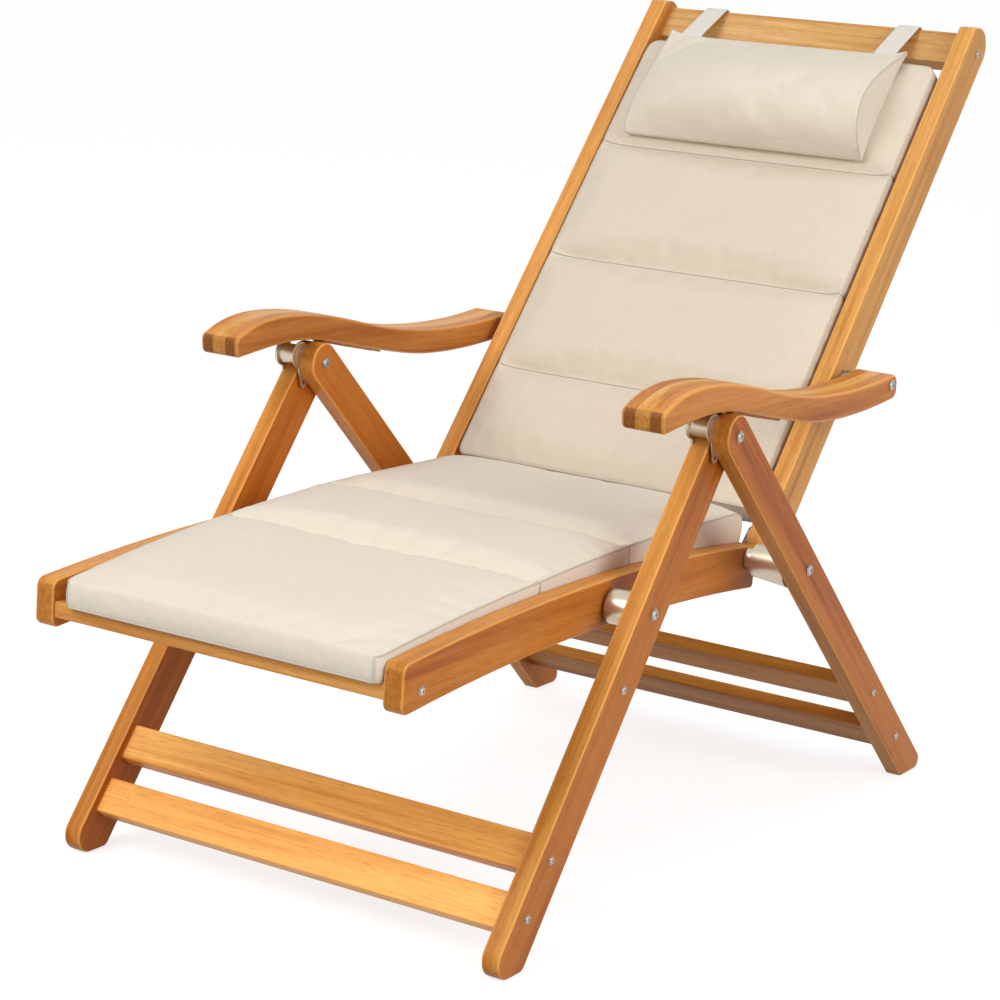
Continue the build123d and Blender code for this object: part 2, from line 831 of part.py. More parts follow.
keep("rear_seat_bush_left", make_rear_bush_left())
keep("rear_seat_bush_right", make_rear_bush_right())
right_rear_outer = -rear_frame_inner_right - leg_thickness
keep("rear_seat_bolts", [
    screw(rear_bush_centre, left_rear_outer, -1, left_rear_outer - rail_outer - rear_bush_end_gap,
          bolt_head_radius, bolt_head_height, bolt_radius),
    screw(rear_bush_centre, right_rear_outer, 1,
          -rail_outer - rear_bush_end_gap - right_rear_outer,
          bolt_head_radius, bolt_head_height, bolt_radius),
])
keep("armrest_bolts", [
    *make_bolt(arm_pivot, arm_outer, stile_inner + nut_height, -1),
    *make_bolt(arm_pivot, -arm_outer, -stile_inner - nut_height, 1),
])
pin_length = stile_outer - rail_inner
keep("hinge_pins", [
    screw(back_pivot, sign * rail_inner, sign, pin_length,
          hinge_pin_head_radius, hinge_pin_head_height, hinge_pin_radius)
    for sign in sides.values()
])
keep("hinge_washers", [
    ring(back_pivot, spacer_radius, hinge_pin_radius + running_clearance,
         *across(side, rail_inner + hinge_plate_thickness, stile_inner))
    for side in sides
])


# Screws
def pair_of_screws(centre, left_face, right_face, length):
    """A screw from the left and one from the right at the same place."""
    head = (screw_head_radius, screw_head_height)
    return [screw(centre, left_face, -1, length, *head), screw(centre, right_face, 1, length, *head)]


front_screws = []
for centre in front_slat_places:
    front_screws += pair_of_screws(centre, front_frame_outer, -front_frame_outer, screw_length)
front_screws += pair_of_screws(
    lone_screw_place, front_frame_outer, -front_frame_outer, short_screw_length
)
for leg_face in (front_frame_inner, -front_frame_outer):
    front_screws.append(screw(
        hub_tail, leg_face - hub_free_cheek, 1, plate_screw_length,
        plate_screw_head_radius, plate_screw_head_height,
    ))
keep("front_frame_screws", front_screws)

rear_screws = []
for centre in rear_slat_places:
    rear_screws += pair_of_screws(centre, left_rear_outer, right_rear_outer, screw_length)
keep("rear_frame_screws", rear_screws)

seat_screws = pair_of_screws(rail_screw_place, rail_outer, -rail_outer, screw_length)
for sign in sides.values():
    for centre in hinge_screw_places:
        seat_screws.append(screw(
            centre, sign * rail_inner, sign, plate_screw_length,
            plate_screw_head_radius, plate_screw_head_height,
        ))
keep("seat_frame_screws", seat_screws)
keep("back_frame_screws",
     pair_of_screws(top_bar_place, stile_outer, -stile_outer, screw_length))


# Cushions
def seat_spot(y, height):
    """Place at a height over the seat boards."""
    return (y, seat_support(y) + soft_gap + height)


def back_spot(reach, height):
    """Place at a height over the back of the back cushion."""
    return place(back_pivot, stile_angle, reach, back_pad_back + height)


def pad_section(spot, breaks, heights, crown, seam, x, bowed):
    """Section of a quilted pad: flat or bowed below, one crowned arc for each channel."""
    def at(position, height):
        return Vector(x, *spot(position, height))

    edges = []
    low = [at(position, 0) for position in breaks]
    high = [at(position, height) for position, height in zip(breaks, heights)]
    inner = range(1, len(breaks) - 1)
    high = [point if index not in inner else at(breaks[index], heights[index] - seam)
            for index, point in enumerate(high)]
    for index in range(len(breaks) - 1):
        middle = (breaks[index] + breaks[index + 1]) / 2
        lift = (heights[index] + heights[index + 1]) / 2 + crown
        edges.append(ThreePointArc(high[index], at(middle, lift), high[index + 1]).edge())
    edges.append(Line(high[-1], low[-1]).edge())
    for index in reversed(range(len(breaks) - 1)):
        middle = (breaks[index] + breaks[index + 1]) / 2
        if bowed:
            edges.append(ThreePointArc(low[index + 1], at(middle, 0), low[index]).edge())
        else:
            edges.append(Line(low[index + 1], low[index]).edge())
    edges.append(Line(low[0], high[0]).edge())
    return Face(Wire(edges))


def quilted_pad(spot, breaks, heights, crown, half_width, bowed):
    """Quilted pad that is thinner at its sides, with sewn channels across it."""
    sections = []
    for x_share, height_share, crown_share in pad_side_shares:
        scaled = [height * height_share for height in heights]
        lift = crown * crown_share + (1 - crown_share) * board_edge_radius / 2
        sections.append(pad_section(
            spot, breaks, scaled, lift, seam_depth * crown_share, x_share * half_width, bowed
        ))
    return loft(sections, ruled=True)


seat_pad_breaks = (rail_front_y - seat_pad_front, seat_pad_seams[0], seat_pad_seams[1], seat_pad_rear_y)
seat_pad_heights = [share * seat_pad_thickness for share in seat_pad_thickness_shares]
keep("seat_cushion", quilted_pad(
    seat_spot, seat_pad_breaks, seat_pad_heights, seat_pad_crown,
    rail_inner - cushion_side_gap, True,
))
back_pad_breaks = (back_pad_start, *back_pad_seams, back_pad_end)
back_pad_heights = [share * back_pad_thickness for share in back_pad_thickness_shares]
keep("back_cushion", quilted_pad(
    back_spot, back_pad_breaks, back_pad_heights, back_pad_crown, back_pad_half_width, False
))
pillow_base = back_pad_back + back_pad_thickness + back_pad_crown + soft_gap
pillow_middle = pillow_base + pillow_thickness * pillow_back_share


def pillow_section(x, thickness_share):
    """Lens-shaped section of the head pillow, flatter at the back than in front."""
    thickness = pillow_thickness * thickness_share
    reach = (pillow_start + pillow_end) / 2
    taper = 1 - pillow_taper_share * (1 - thickness_share)
    half = (pillow_end - pillow_start) / 2 * taper
    hem = pillow_hem * thickness_share / 2

    def at(along, aside):
        return Vector(x, *place(back_pivot, stile_angle, along, aside))

    low_back = at(reach - half, pillow_middle - hem)
    low_front = at(reach - half, pillow_middle + hem)
    high_front = at(reach + half, pillow_middle + hem)
    high_back = at(reach + half, pillow_middle - hem)
    front_middle = at(reach, pillow_middle + thickness * (1 - pillow_back_share))
    back_middle = at(reach, pillow_middle - thickness * pillow_back_share)
    edges = [
        Line(low_back, low_front).edge(),
        ThreePointArc(low_front, front_middle, high_front).edge(),
        Line(high_front, high_back).edge(),
        ThreePointArc(high_back, back_middle, low_back).edge(),
    ]
    return Face(Wire(edges))


keep("head_pillow", loft([
    pillow_section(pillow_x_shift + share * pillow_half_width, thickness_share)
    for share, thickness_share in pillow_side_shares
], ruled=True))


def make_pillow_strap(side):
    """Flat strap from the pillow's upper edge over the top crossbar and down behind it."""
    bar_half = top_bar_width / 2
    half_thickness = top_bar_thickness / 2
    front = half_thickness - top_bar_setback + soft_gap
    back = -half_thickness - top_bar_setback - soft_gap
    over = top_bar_reach + bar_half + soft_gap
    inner_route = [
        (pillow_end, pillow_middle), (over, front), (over, back), (over - strap_tail, back),
    ]
    outer_route = [
        (pillow_end + strap_thickness, pillow_middle + strap_thickness),
        (over + strap_thickness, front + strap_thickness),
        (over + strap_thickness, back - strap_thickness),
        (over - strap_tail, back - strap_thickness),
    ]
    route = inner_route + outer_route[::-1]
    low = pillow_x_shift + sides[side] * strap_x - strap_width / 2
    points = [Vector(low, *place(back_pivot, stile_angle, *spot)) for spot in route]
    edges = [Line(start, end).edge() for start, end in zip(points, points[1:] + points[:1])]
    return thicken(edges, low, low + strap_width)


for side in sides:
    keep(f"pillow_strap_{side}", make_pillow_strap(side))

# The origin is put on the floor, in the middle of the chair's overall box
every_solid = [solid for group in nodes.values() for solid in group]
whole_box = Compound(every_solid).bounding_box()
middle = whole_box.center()
shift = Pos(-middle.X, -middle.Y, -whole_box.min.Z)
os.makedirs("parts", exist_ok=True)
for name, group in nodes.items():
    placed = [shift * solid for solid in group]
    piece = placed[0] if len(placed) == 1 else Compound(placed)
    export_step(piece, f"parts/{name}.step")
print("origin moved by", -middle.X, -middle.Y, -whole_box.min.Z)
print("overall size", whole_box.size.X, whole_box.size.Y, whole_box.size.Z)
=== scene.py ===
"""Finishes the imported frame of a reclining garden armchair: boards, fittings, cushions, pillow,
straps and studio."""

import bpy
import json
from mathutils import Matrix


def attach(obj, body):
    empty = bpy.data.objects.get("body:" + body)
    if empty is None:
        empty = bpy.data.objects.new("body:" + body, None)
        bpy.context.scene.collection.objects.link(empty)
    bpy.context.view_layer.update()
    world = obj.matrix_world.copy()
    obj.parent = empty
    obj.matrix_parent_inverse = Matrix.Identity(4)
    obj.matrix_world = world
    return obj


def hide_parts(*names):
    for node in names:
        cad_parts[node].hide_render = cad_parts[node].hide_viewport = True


bl_info = {
    "name": "Reclining Garden Armchair",
    "version": (1, 0, 0),
    "blender": (4, 5, 0),
    "location": "View3D > Sidebar > Armchair",
    "description": "Dresses the frame of a reclining garden armchair: wood, fittings and cushions",
    "category": "Object",
}

import json
import math

import bmesh
import bpy
import numpy as np
from bpy.props import FloatProperty, FloatVectorProperty, PointerProperty
from mathutils import Euler, Matrix, Vector

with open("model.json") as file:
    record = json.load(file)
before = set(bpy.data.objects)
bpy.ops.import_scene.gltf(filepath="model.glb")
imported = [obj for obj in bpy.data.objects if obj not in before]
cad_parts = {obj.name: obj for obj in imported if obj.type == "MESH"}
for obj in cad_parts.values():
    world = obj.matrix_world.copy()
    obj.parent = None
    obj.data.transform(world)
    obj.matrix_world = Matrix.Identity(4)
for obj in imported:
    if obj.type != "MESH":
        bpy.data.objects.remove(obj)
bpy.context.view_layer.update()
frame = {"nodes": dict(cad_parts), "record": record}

# All lengths are in metres. The chair's own drawing starts here in the row frame.
DRAWING_ORIGIN = Vector((-0.004, -0.08166, 0.0))
SIDES = {"left": 1, "right": -1}
SAME = 1e-9

# The back's hinge on the drawing, and how far the long boards lean
BACK_PIVOT = Vector((0.0, 0.230, 0.369))
STILE_ANGLE = math.radians(50.7)
FRONT_LEG_ANGLE = math.radians(52.85)
REAR_LEG_ANGLE = math.radians(-41.3)

# The tops of the seat slats follow two arcs that meet at a crown
CROWN_PLACE, CROWN_HEIGHT = -0.215, 0.369
FRONT_ARC, REAR_ARC = 3.9, 14.0

# The channels sewn across the cushions: setbacks on the seat, reaches up the back
SEAMS_OF_SEAT = (-0.290, -0.087)
SEAMS_OF_BACK = (0.1726, 0.3616, 0.5576)

# The head pillow's middle on X, and how far from it its straps lie
PILLOW_MIDDLE, STRAP_SPREAD = -0.004, 0.152

# The hubs' middle (y, z) in the row frame, the run of their tails from it, and its length
HUB_CENTRE = (-0.1596597526, 0.567)
HUB_TAIL = (0.010, -0.036)
HUB_REACH = math.hypot(*HUB_TAIL)

# Tints of the wood, as shares of red, green and blue. The last three are painted shade for the
# broad sides.
PALE = (1.0, 1.0, 1.0)
DEEP = (0.96, 0.84, 0.56)
DEEPER_SHADE = (0.74, 0.54, 0.34)
RICH_SHADE = (0.86, 0.70, 0.50)
CALM_SHADE = (0.88, 0.86, 0.80)

# How each board turns to lay its grain along +Y, by how its name begins
LENGTHWISE, CROSSWISE = (0.0, 0.0, 0.0), (0.0, 0.0, math.pi / 2)
BOARD_TURNS = {
    "front_leg": (-FRONT_LEG_ANGLE, 0, 0), "rear_leg": (-REAR_LEG_ANGLE, 0, 0),
    "back_stile": (-STILE_ANGLE, 0, 0), "seat_rail": LENGTHWISE, "armrest": LENGTHWISE,
    "notch_track": LENGTHWISE,
}

# Tone, tone of the end grain, redness and where end grain sets in, by how a strip's name ends
FLAT_END, NOSE = (0.80, 0.95), (0.45, 0.85)
STRIP_TONES = {
    "inner_strip": (0.84, 0.46, 0.75, NOSE), "middle_strip": (1.05, 0.75, 0.0, NOSE),
    "outer_strip": (0.95, 0.42, 0.70, NOSE),
}

# Tints of each whole board and, over that, of its broad sides, by how its name begins. The broad
# sides' tints are painted shade.
BOARD_TINTS = {
    "front_leg": (DEEP, DEEPER_SHADE), "rear_leg": (DEEP, DEEPER_SHADE), "seat_rail": (DEEP, RICH_SHADE),
    # The lighter whole-board tints of the front slats and the top bar are a painted highlight.
    "rear_slat": (DEEP, PALE), "front_slat": ((1.36, 1.40, 1.32), PALE),
    "back_top": ((1.10, 1.42, 2.2), PALE), "armrest": ((0.98, 1.03, 0.92), CALM_SHADE),
    "back_stile": (PALE, CALM_SHADE),
}

# The finish of every slot that isn't wood. The frame brings its own bronzed metal.
SLOT_FINISHES = {
    "bronzed_metal": "bronzed_metal", "steel_fixings": "bright_steel",
    "cream_linen": "cushion_linen", "cream_webbing": "cushion_linen",
}

# The linen's thread pitch, strength of its slubs and depth of its weave
LINEN_WEAVE = (0.0016, 0.36, 0.00018)
TAPE_WEAVE = (0.0022, 0.35, 0.0003)
# A darker copy of the cushions' linen for the back cushion: painted shade.
BACK_LINEN_SHADE = (0.93, 0.905, 0.87)


# Places


def seat_rest(y):
    """Height of the seat slats' tops at a setback y of the drawing."""
    radius = FRONT_ARC if y < CROWN_PLACE else REAR_ARC
    return CROWN_HEIGHT - (y - CROWN_PLACE) ** 2 / (2 * radius)


def seat_spot(x, y, height):
    """A spot over the seat slats, in the row frame."""
    return DRAWING_ORIGIN + Vector((x, y, seat_rest(y) + height))


def back_spot(x, reach, height):
    """A spot over the back's front plane, with reach measured up the stiles from their pivot."""
    c, s = math.cos(STILE_ANGLE), math.sin(STILE_ANGLE)
    spot = BACK_PIVOT + Vector((x, reach * c - height * s, reach * s + height * c))
    return DRAWING_ORIGIN + spot


def active():
    return bpy.context.view_layer.objects.active


def clear_selection():
    for piece in bpy.context.selected_objects:
        piece.select_set(False)
    bpy.context.view_layer.objects.active = None


def pick(piece):
    clear_selection()
    piece.select_set(True)
    bpy.context.view_layer.objects.active = piece


def apply_modifiers(piece):
    pick(piece)
    for modifier in list(piece.modifiers):
        bpy.ops.object.modifier_apply(modifier=modifier.name)


def smooth_by_angle(piece, degrees):
    """Smooths all edges that are blunter than an angle."""
    pick(piece)
    bpy.ops.object.shade_smooth_by_angle(angle=math.radians(degrees))


def placed(name, data):
    """A new object of the scene."""
    made = bpy.data.objects.new(name, data)
    bpy.context.scene.collection.objects.link(made)
    return made


# Finishes


class Nodes:
    """An emptied node tree, with a short way to add nodes and join them."""

    def __init__(self, tree):
        self.tree = tree
        self.tree.nodes.clear()

    def node(self, kind, given=None, **settings):
        made = self.tree.nodes.new("ShaderNode" + kind)
        for name, value in settings.items():
            setattr(made, name, value)
        self.fill(made, given or {})
        return made

    def fill(self, node, given):
        """Sets a node's inputs by name or number, each to a value or another node's output."""
        for name, value in given.items():
            self.feed(value, node.inputs[name])

    def join(self, source, target):
        self.tree.links.new(source, target)

    def feed(self, value, socket):
        if isinstance(value, bpy.types.NodeSocket):
            self.join(value, socket)
        else:
            socket.default_value = value

    def math(self, operation, first, second=0.0, clamp=False):
        made = self.node("Math", {0: first, 1: second}, operation=operation, use_clamp=clamp)
        return made.outputs[0]

    def times(self, first, second):
        return self.math("MULTIPLY", first, second)

    def seen_rays(self):
        """1 for rays that show the surroundings: from the camera, glossy or through glass."""
        rays = self.node("LightPath").outputs
        seen = self.math("ADD", rays["Is Camera Ray"], rays["Is Glossy Ray"])
        return self.math("ADD", seen, rays["Is Transmission Ray"], clamp=True)

    def stretch(self, vector, scale, turn=(0, 0, 0), shift=(0, 0, 0)):
        made = self.node("Mapping", {
            "Vector": vector, "Scale": scale, "Rotation": turn, "Location": shift,
        })
        return made.outputs[0]

    def noise(self, vector, scale, detail=3.0, roughness=0.5, distortion=0.0, shift=(0, 0, 0)):
        """Uneven values, with scale in cycles per metre each way."""
        made = self.node("TexNoise", {
            "Vector": self.stretch(vector, scale, shift=shift), "Scale": 1.0, "Detail": detail,
            "Roughness": roughness, "Distortion": distortion,
        })
        return made.outputs["Fac"]

    def span(self, value, low, high, to_low=0.0, to_high=1.0):
        made = self.node("MapRange", {
            "Value": value, "From Min": low, "From Max": high, "To Min": to_low, "To Max": to_high,
        }, interpolation_type="SMOOTHSTEP")
        return made.outputs[0]

    def ramp(self, value, stops):
        made = self.node("ValToRGB", {"Fac": value})
        band = made.color_ramp
        while len(band.elements) < len(stops):
            band.elements.new(0.5)
        for element, (place, colour) in zip(band.elements, stops):
            element.position = place
            element.color = (*colour, 1.0)
        return made.outputs[0]

    def mix(self, share, first, second, how="MIX"):
        """Blends two colours by a share. Inputs 6 and 7 and output 2 are the node's colours."""
        colours = [
            colour if isinstance(colour, bpy.types.NodeSocket) else (*colour, 1.0)
            for colour in (first, second)
        ]
        given = {0: share, 6: colours[0], 7: colours[1]}
        return self.node("Mix", given, data_type="RGBA", blend_type=how).outputs[2]

    def bump(self, height, distance):
        made = self.node("Bump", {"Height": height, "Distance": distance, "Strength": 1.0})
        return made.outputs[0]


class Finish(Nodes):
    """The nodes of one new material with its surface shader."""

    def __init__(self, name):
        material = bpy.data.materials.new(name)
        material.use_nodes = True
        super().__init__(material.node_tree)
        self.shader = self.node("BsdfPrincipled")
        self.output = self.node("OutputMaterial")
        self.join(self.shader.outputs[0], self.output.inputs[0])

    def coordinates(self, kind="Object"):
        return self.node("TexCoord").outputs[kind]


def darker(colour, share):
    return tuple(channel * share for channel in colour)


def tinted(colour, tint):
    return tuple(channel * share for channel, share in zip(colour, tint))


def wood_finish(name, turn, seed, tones, tints):
    """Oiled hardwood with its grain along +Y once turned: streaks, fibres, pores and dark end
    grain, with a painted highlight along the arrises and painted shade on the broad sides."""
    tone, end_tone, redness, end_span = tones
    hue_and_painted_light, broadside_shade = tints
    colours = bpy.context.scene.armchair_colours
    light, middle, dark = colours.wood_light, colours.wood_middle, colours.wood_dark

    def shade(colour, share=1.0):
        red, green, blue = (channel * tint * tone * share for channel, tint in zip(colour, hue_and_painted_light))
        return red, green * (1 - 0.35 * redness), blue * (1 - 0.45 * redness)

    finish = Finish(name)
    place = finish.coordinates()
    grain = finish.stretch(place, (1, 1, 1), turn, (seed * 0.37, seed * 1.31, seed * 0.73))
    waver = finish.noise(grain, (5, 1.1, 5), 2.0)
    sway = {"X": finish.times(waver, 0.03), "Z": finish.times(waver, 0.02)}
    sway = finish.node("CombineXYZ", sway).outputs[0]
    grain = finish.node("VectorMath", {0: grain, 1: sway}, operation="ADD").outputs[0]
    broad = finish.noise(grain, (9, 0.9, 9), 2.0)
    streaks = finish.noise(grain, (58, 1.7, 46), 4.0, 0.62, 0.25)
    fibres = finish.noise(grain, (430, 8, 430), 3.0, 0.6)
    pores = finish.noise(grain, (1500, 42, 1500), 2.0)
    body = finish.math("ADD", finish.times(streaks, 0.62), finish.times(broad, 0.38))
    colour = finish.ramp(body, [
        (0.34, shade(dark)), (0.44, shade(middle)), (0.55, shade(light)),
        (0.68, shade(light, 1.08)),
    ])
    colour = finish.mix(finish.span(fibres, 0.35, 0.7, 0.0, 0.30), colour, shade(middle, 0.72))
    pore_mask = finish.span(pores, 0.60, 0.70, 0.0, 0.42)
    colour = finish.mix(pore_mask, colour, shade(dark, 0.55))

    normal = finish.coordinates("Normal")
    leaning = finish.node("Mapping", {"Vector": normal, "Rotation": turn}, vector_type="NORMAL")
    along = finish.node("SeparateXYZ", {0: leaning.outputs[0]}).outputs["Y"]
    end_mask = finish.span(finish.math("ABSOLUTE", along), *end_span)
    end_rings = finish.noise(grain, (260, 6, 170), 3.0, 0.6)
    end_colour = finish.ramp(end_rings, [
        (0.3, shade(middle, end_tone * 0.75)), (0.7, shade(middle, end_tone * 1.25)),
    ])
    colour = finish.mix(end_mask, colour, end_colour)
    # Broad sides facing +X or -X take their board's side tint: painted shade.
    sideways = finish.math("ABSOLUTE", finish.node("SeparateXYZ", {0: normal}).outputs["X"])
    shaded_broadside = finish.mix(1.0, colour, broadside_shade, "MULTIPLY")
    colour = finish.mix(finish.span(sideways, 0.55, 0.95), colour, shaded_broadside)
    # Lighter along the arrises, by how far the normal turns from the broad side: a painted
    # highlight.
    edge_on = finish.times(sideways, finish.math("SUBTRACT", 1.0, sideways))
    arris_highlight = finish.span(edge_on, 0.04, 0.17, 0.0, 0.0 if turn == CROSSWISE else 0.45)
    colour = finish.mix(arris_highlight, colour, tuple(channel * 1.30 * tone for channel in light))
    height = finish.math("SUBTRACT", finish.times(fibres, 0.5), pore_mask)
    finish.fill(finish.shader, {
        "Base Color": colour, "Roughness": finish.span(fibres, 0.3, 0.75, 0.34, 0.48),
        "Specular IOR Level": 0.16, "Normal": finish.bump(height, 0.00025),
    })


def steel_finish(name, colour):
    """Satin steel with fine brushing and a slightly uneven tone."""
    finish = Finish(name)
    place = finish.coordinates()
    brushed = finish.noise(place, (900, 900, 90), 3.0, 0.6)
    cloudy = finish.noise(place, (70, 70, 70), 3.0, 0.6)
    tone = finish.mix(finish.span(cloudy, 0.35, 0.7, 0.0, 0.45), colour, darker(colour, 0.55))
    finish.fill(finish.shader, {
        "Base Color": tone, "Metallic": 1.0, "Normal": finish.bump(brushed, 0.00006),
        "Roughness": finish.span(brushed, 0.3, 0.7, 0.24, 0.38),
    })


def cloth_finish(name, colour, thread, slub, weave_depth):
    """Plain-woven cloth on the piece's own UV map, in metres: threads, slubs and a soft sheen."""
    finish = Finish(name)
    place = finish.node("UVMap", uv_map="weave").outputs[0]
    warp_slubs = finish.noise(place, (900, 26, 1), 3.0, 0.55)
    weft_slubs = finish.noise(place, (26, 900, 1), 3.0, 0.55, shift=(3.0, 7.0, 0))
    clouds = finish.noise(place, (11, 11, 1))
    across = finish.node("SeparateXYZ", {0: place})
    rate = 2 * math.pi / thread
    warp = finish.math("SINE", finish.times(across.outputs["X"], rate))
    weft = finish.math("SINE", finish.times(across.outputs["Y"], rate))
    weave = finish.times(warp, weft)
    slubs = finish.math("ADD", warp_slubs, weft_slubs)
    slub_share = finish.span(slubs, 0.72, 1.3, 0.0, slub)
    tone = finish.mix(slub_share, darker(colour, 1.03), darker(colour, 0.80))
    tone = finish.mix(finish.span(clouds, 0.3, 0.7, 0.0, 0.10), tone, darker(colour, 0.86))
    tone = finish.mix(finish.span(weave, -1.0, 1.0, 0.10, 0.0), tone, darker(colour, 0.70))
    height = finish.math("ADD", finish.times(weave, 0.25), finish.times(slubs, 0.9))
    finish.fill(finish.shader, {
        "Base Color": tone, "Roughness": 0.88, "Specular IOR Level": 0.25,
        "Sheen Weight": 0.12, "Sheen Roughness": 0.5, "Normal": finish.bump(height, weave_depth),
    })


def cord_finish(name, colour):
    """Plain cloth of the piping and of the dark seam cords, with a fine twist on Object
    coordinates.
    """
    finish = Finish(name)
    twist = finish.noise(finish.coordinates(), (700, 700, 700), 2.0)
    share = finish.span(twist, 0.3, 0.7, 0.0, 0.5)
    tone = finish.mix(share, darker(colour, 1.04), darker(colour, 0.88))
    finish.fill(finish.shader, {
        "Base Color": tone, "Roughness": 0.85, "Normal": finish.bump(twist, 0.0002),
    })


def put_finish(piece, name):
    """Gives a piece one finish, which the finishes' operator or the frame has brought."""
    piece.data.materials.clear()
    piece.data.materials.append(bpy.data.materials[name])


# Soft goods

# Grid pitch of a pad, gaps of the closer grid lines beside its seams and sides, and its levels
GRID_PITCH = 0.0085
SEAM_GAPS = (-0.009, -0.004, 0.0, 0.004, 0.009)
SIDE_GAPS = (0.0, 0.004, 0.009, 0.016)
PAD_LEVELS = (0.0, 0.2, 0.4, 0.6, 0.8, 1.0)

# A rounded rear end has its own grid lines at these gaps, and no others nearer than the first
REAR_CLEAR = 0.036
REAR_GAPS = (0.034, 0.029, 0.024, 0.019, 0.0145, 0.0105, 0.007, 0.004, 0.0018, 0.0005, 0.0)

# Channels draw the panel down and the sides in. Sides and ends bulge between their edges.
CHANNEL_WIDTH = 0.0055
PINCH_DEPTH, PINCH_WIDTH = 0.0022, 0.005
SIDE_BULGE, END_BULGE = 0.0018, 0.0025
FLAT_SHARE = 0.30
CORNER_START, CORNER_SHARE = 0.96, 0.6
# Radius of the dark cord along each channel's seam, whose tone is painted shade
SEAM_SHADE_RADIUS = 0.0009

# Height of a side wall on the cloth's UV map
MAP_WALL = 0.05

# The cloth simulation that fills the covers
FILLING_FRAMES = 20
FILLING = {
    "quality": 6, "mass": 0.25, "tension_stiffness": 18, "compression_stiffness": 18,
    "shear_stiffness": 8, "bending_stiffness": 0.6, "tension_damping": 12,
    "compression_damping": 12, "use_pressure": True, "shrink_min": -0.01,
}


class Grid:
    """The lines of a cloth box across, along and up, with the vertex number at each crossing."""

    def __init__(self, across, along, levels):
        self.across, self.along, self.levels = across, along, levels
        self.last = len(across) - 1, len(along) - 1, len(levels) - 1
        self.index = {}

    def numbers(self, crossings):
        return [self.index[crossing] for crossing in crossings]

    def rows_of(self, seams):
        """The lines along that lie on the seams."""
        return [
            j for j, s in enumerate(self.along) if any(abs(s - seam) < SAME for seam in seams)
        ]

    def side_loop(self, i):
        """The vertices round one side wall."""
        _, last_j, last_k = self.last
        return self.numbers((i, j, last_k - down) for j, down in rim(last_j, last_k))

    def panel_loop(self, k):
        """The vertices round the upper or lower panel."""
        return self.numbers((i, j, k) for i, j in rim(*self.last[:2]))


def rim(last_a, last_b):
    """The crossings round a rectangle of grid lines."""
    loop = [(a, 0) for a in range(last_a + 1)]
    loop += [(last_a, b) for b in range(1, last_b + 1)]
    loop += [(a, last_b) for a in range(last_a - 1, -1, -1)]
    return loop + [(0, b) for b in range(last_b - 1, 0, -1)]


def stops_between(fixed, pitch):
    """Positions through the fixed ones, with even steps of about pitch between them."""
    stops = [fixed[0]]
    for low, high in zip(fixed, fixed[1:]):
        count = max(1, round((high - low) / pitch))
        stops += [low + (high - low) * step / count for step in range(1, count + 1)]
    return stops


def near_seams(breaks):
    """Grid lines along a pad, closer together at its seams and ends."""
    fixed = [seam + gap for seam in breaks for gap in SEAM_GAPS]
    return stops_between([s for s in fixed if breaks[0] <= s <= breaks[-1]], GRID_PITCH)


def lines_across(half_width, pitch):
    """Grid lines across a pad, closer together at its sides."""
    left = [-half_width + gap for gap in SIDE_GAPS]
    return stops_between(left + [half_width - gap for gap in reversed(SIDE_GAPS)], pitch)


def cloth_box(name, grid, spot):
    """A closed box of cloth on a grid. spot(x, s, level) gives each crossing its place."""
    across, along, levels = grid.across, grid.along, grid.levels
    last_i, last_j, last_k = grid.last
    places, faces, marks = [], [], []

    def vertex(i, j, k):
        if (i, j, k) not in grid.index:
            grid.index[i, j, k] = len(places)
            places.append(spot(across[i], along[j], levels[k]))
        return grid.index[i, j, k]

    def patch(first_count, second_count, at, flat):
        """One face of the box: at gives a corner's crossing, and flat its place on the UV map."""
        for a in range(first_count):
            for b in range(second_count):
                ring = [(a, b), (a + 1, b), (a + 1, b + 1), (a, b + 1)]
                faces.append([vertex(*at(*corner)) for corner in ring])
                marks.extend(value for corner in ring for value in flat(*corner))

    drops = [(level - 1) * MAP_WALL for level in levels]
    climbs = [level * MAP_WALL for level in levels]
    patch(last_i, last_j, lambda i, j: (i, j, last_k), lambda i, j: (across[i], along[j]))
    patch(last_j, last_i, lambda j, i: (i, j, 0), lambda j, i: (across[i] + 1, along[j]))
    patch(last_i, last_k, lambda i, k: (i, 0, k), lambda i, k: (across[i], along[0] + drops[k]))
    patch(
        last_k, last_i, lambda k, i: (i, last_j, k), lambda k, i: (across[i], along[-1] - drops[k]))
    patch(last_j, last_k, lambda j, k: (last_i, j, k), lambda j, k: (climbs[k] + 2, along[j]))
    patch(last_k, last_j, lambda k, j: (0, j, k), lambda k, j: (climbs[k] + 3, along[j]))
    mesh = bpy.data.meshes.new(name)
    mesh.from_pydata(places, [], faces)
    mesh.uv_layers.new(name="weave").data.foreach_set("uv", marks)
    mesh.polygons.foreach_set("use_smooth", [True] * len(mesh.polygons))
    return placed(name, mesh)


def coordinates(piece):
    values = np.zeros(len(piece.data.vertices) * 3)
    piece.data.vertices.foreach_get("co", values)
    return values.reshape(-1, 3)


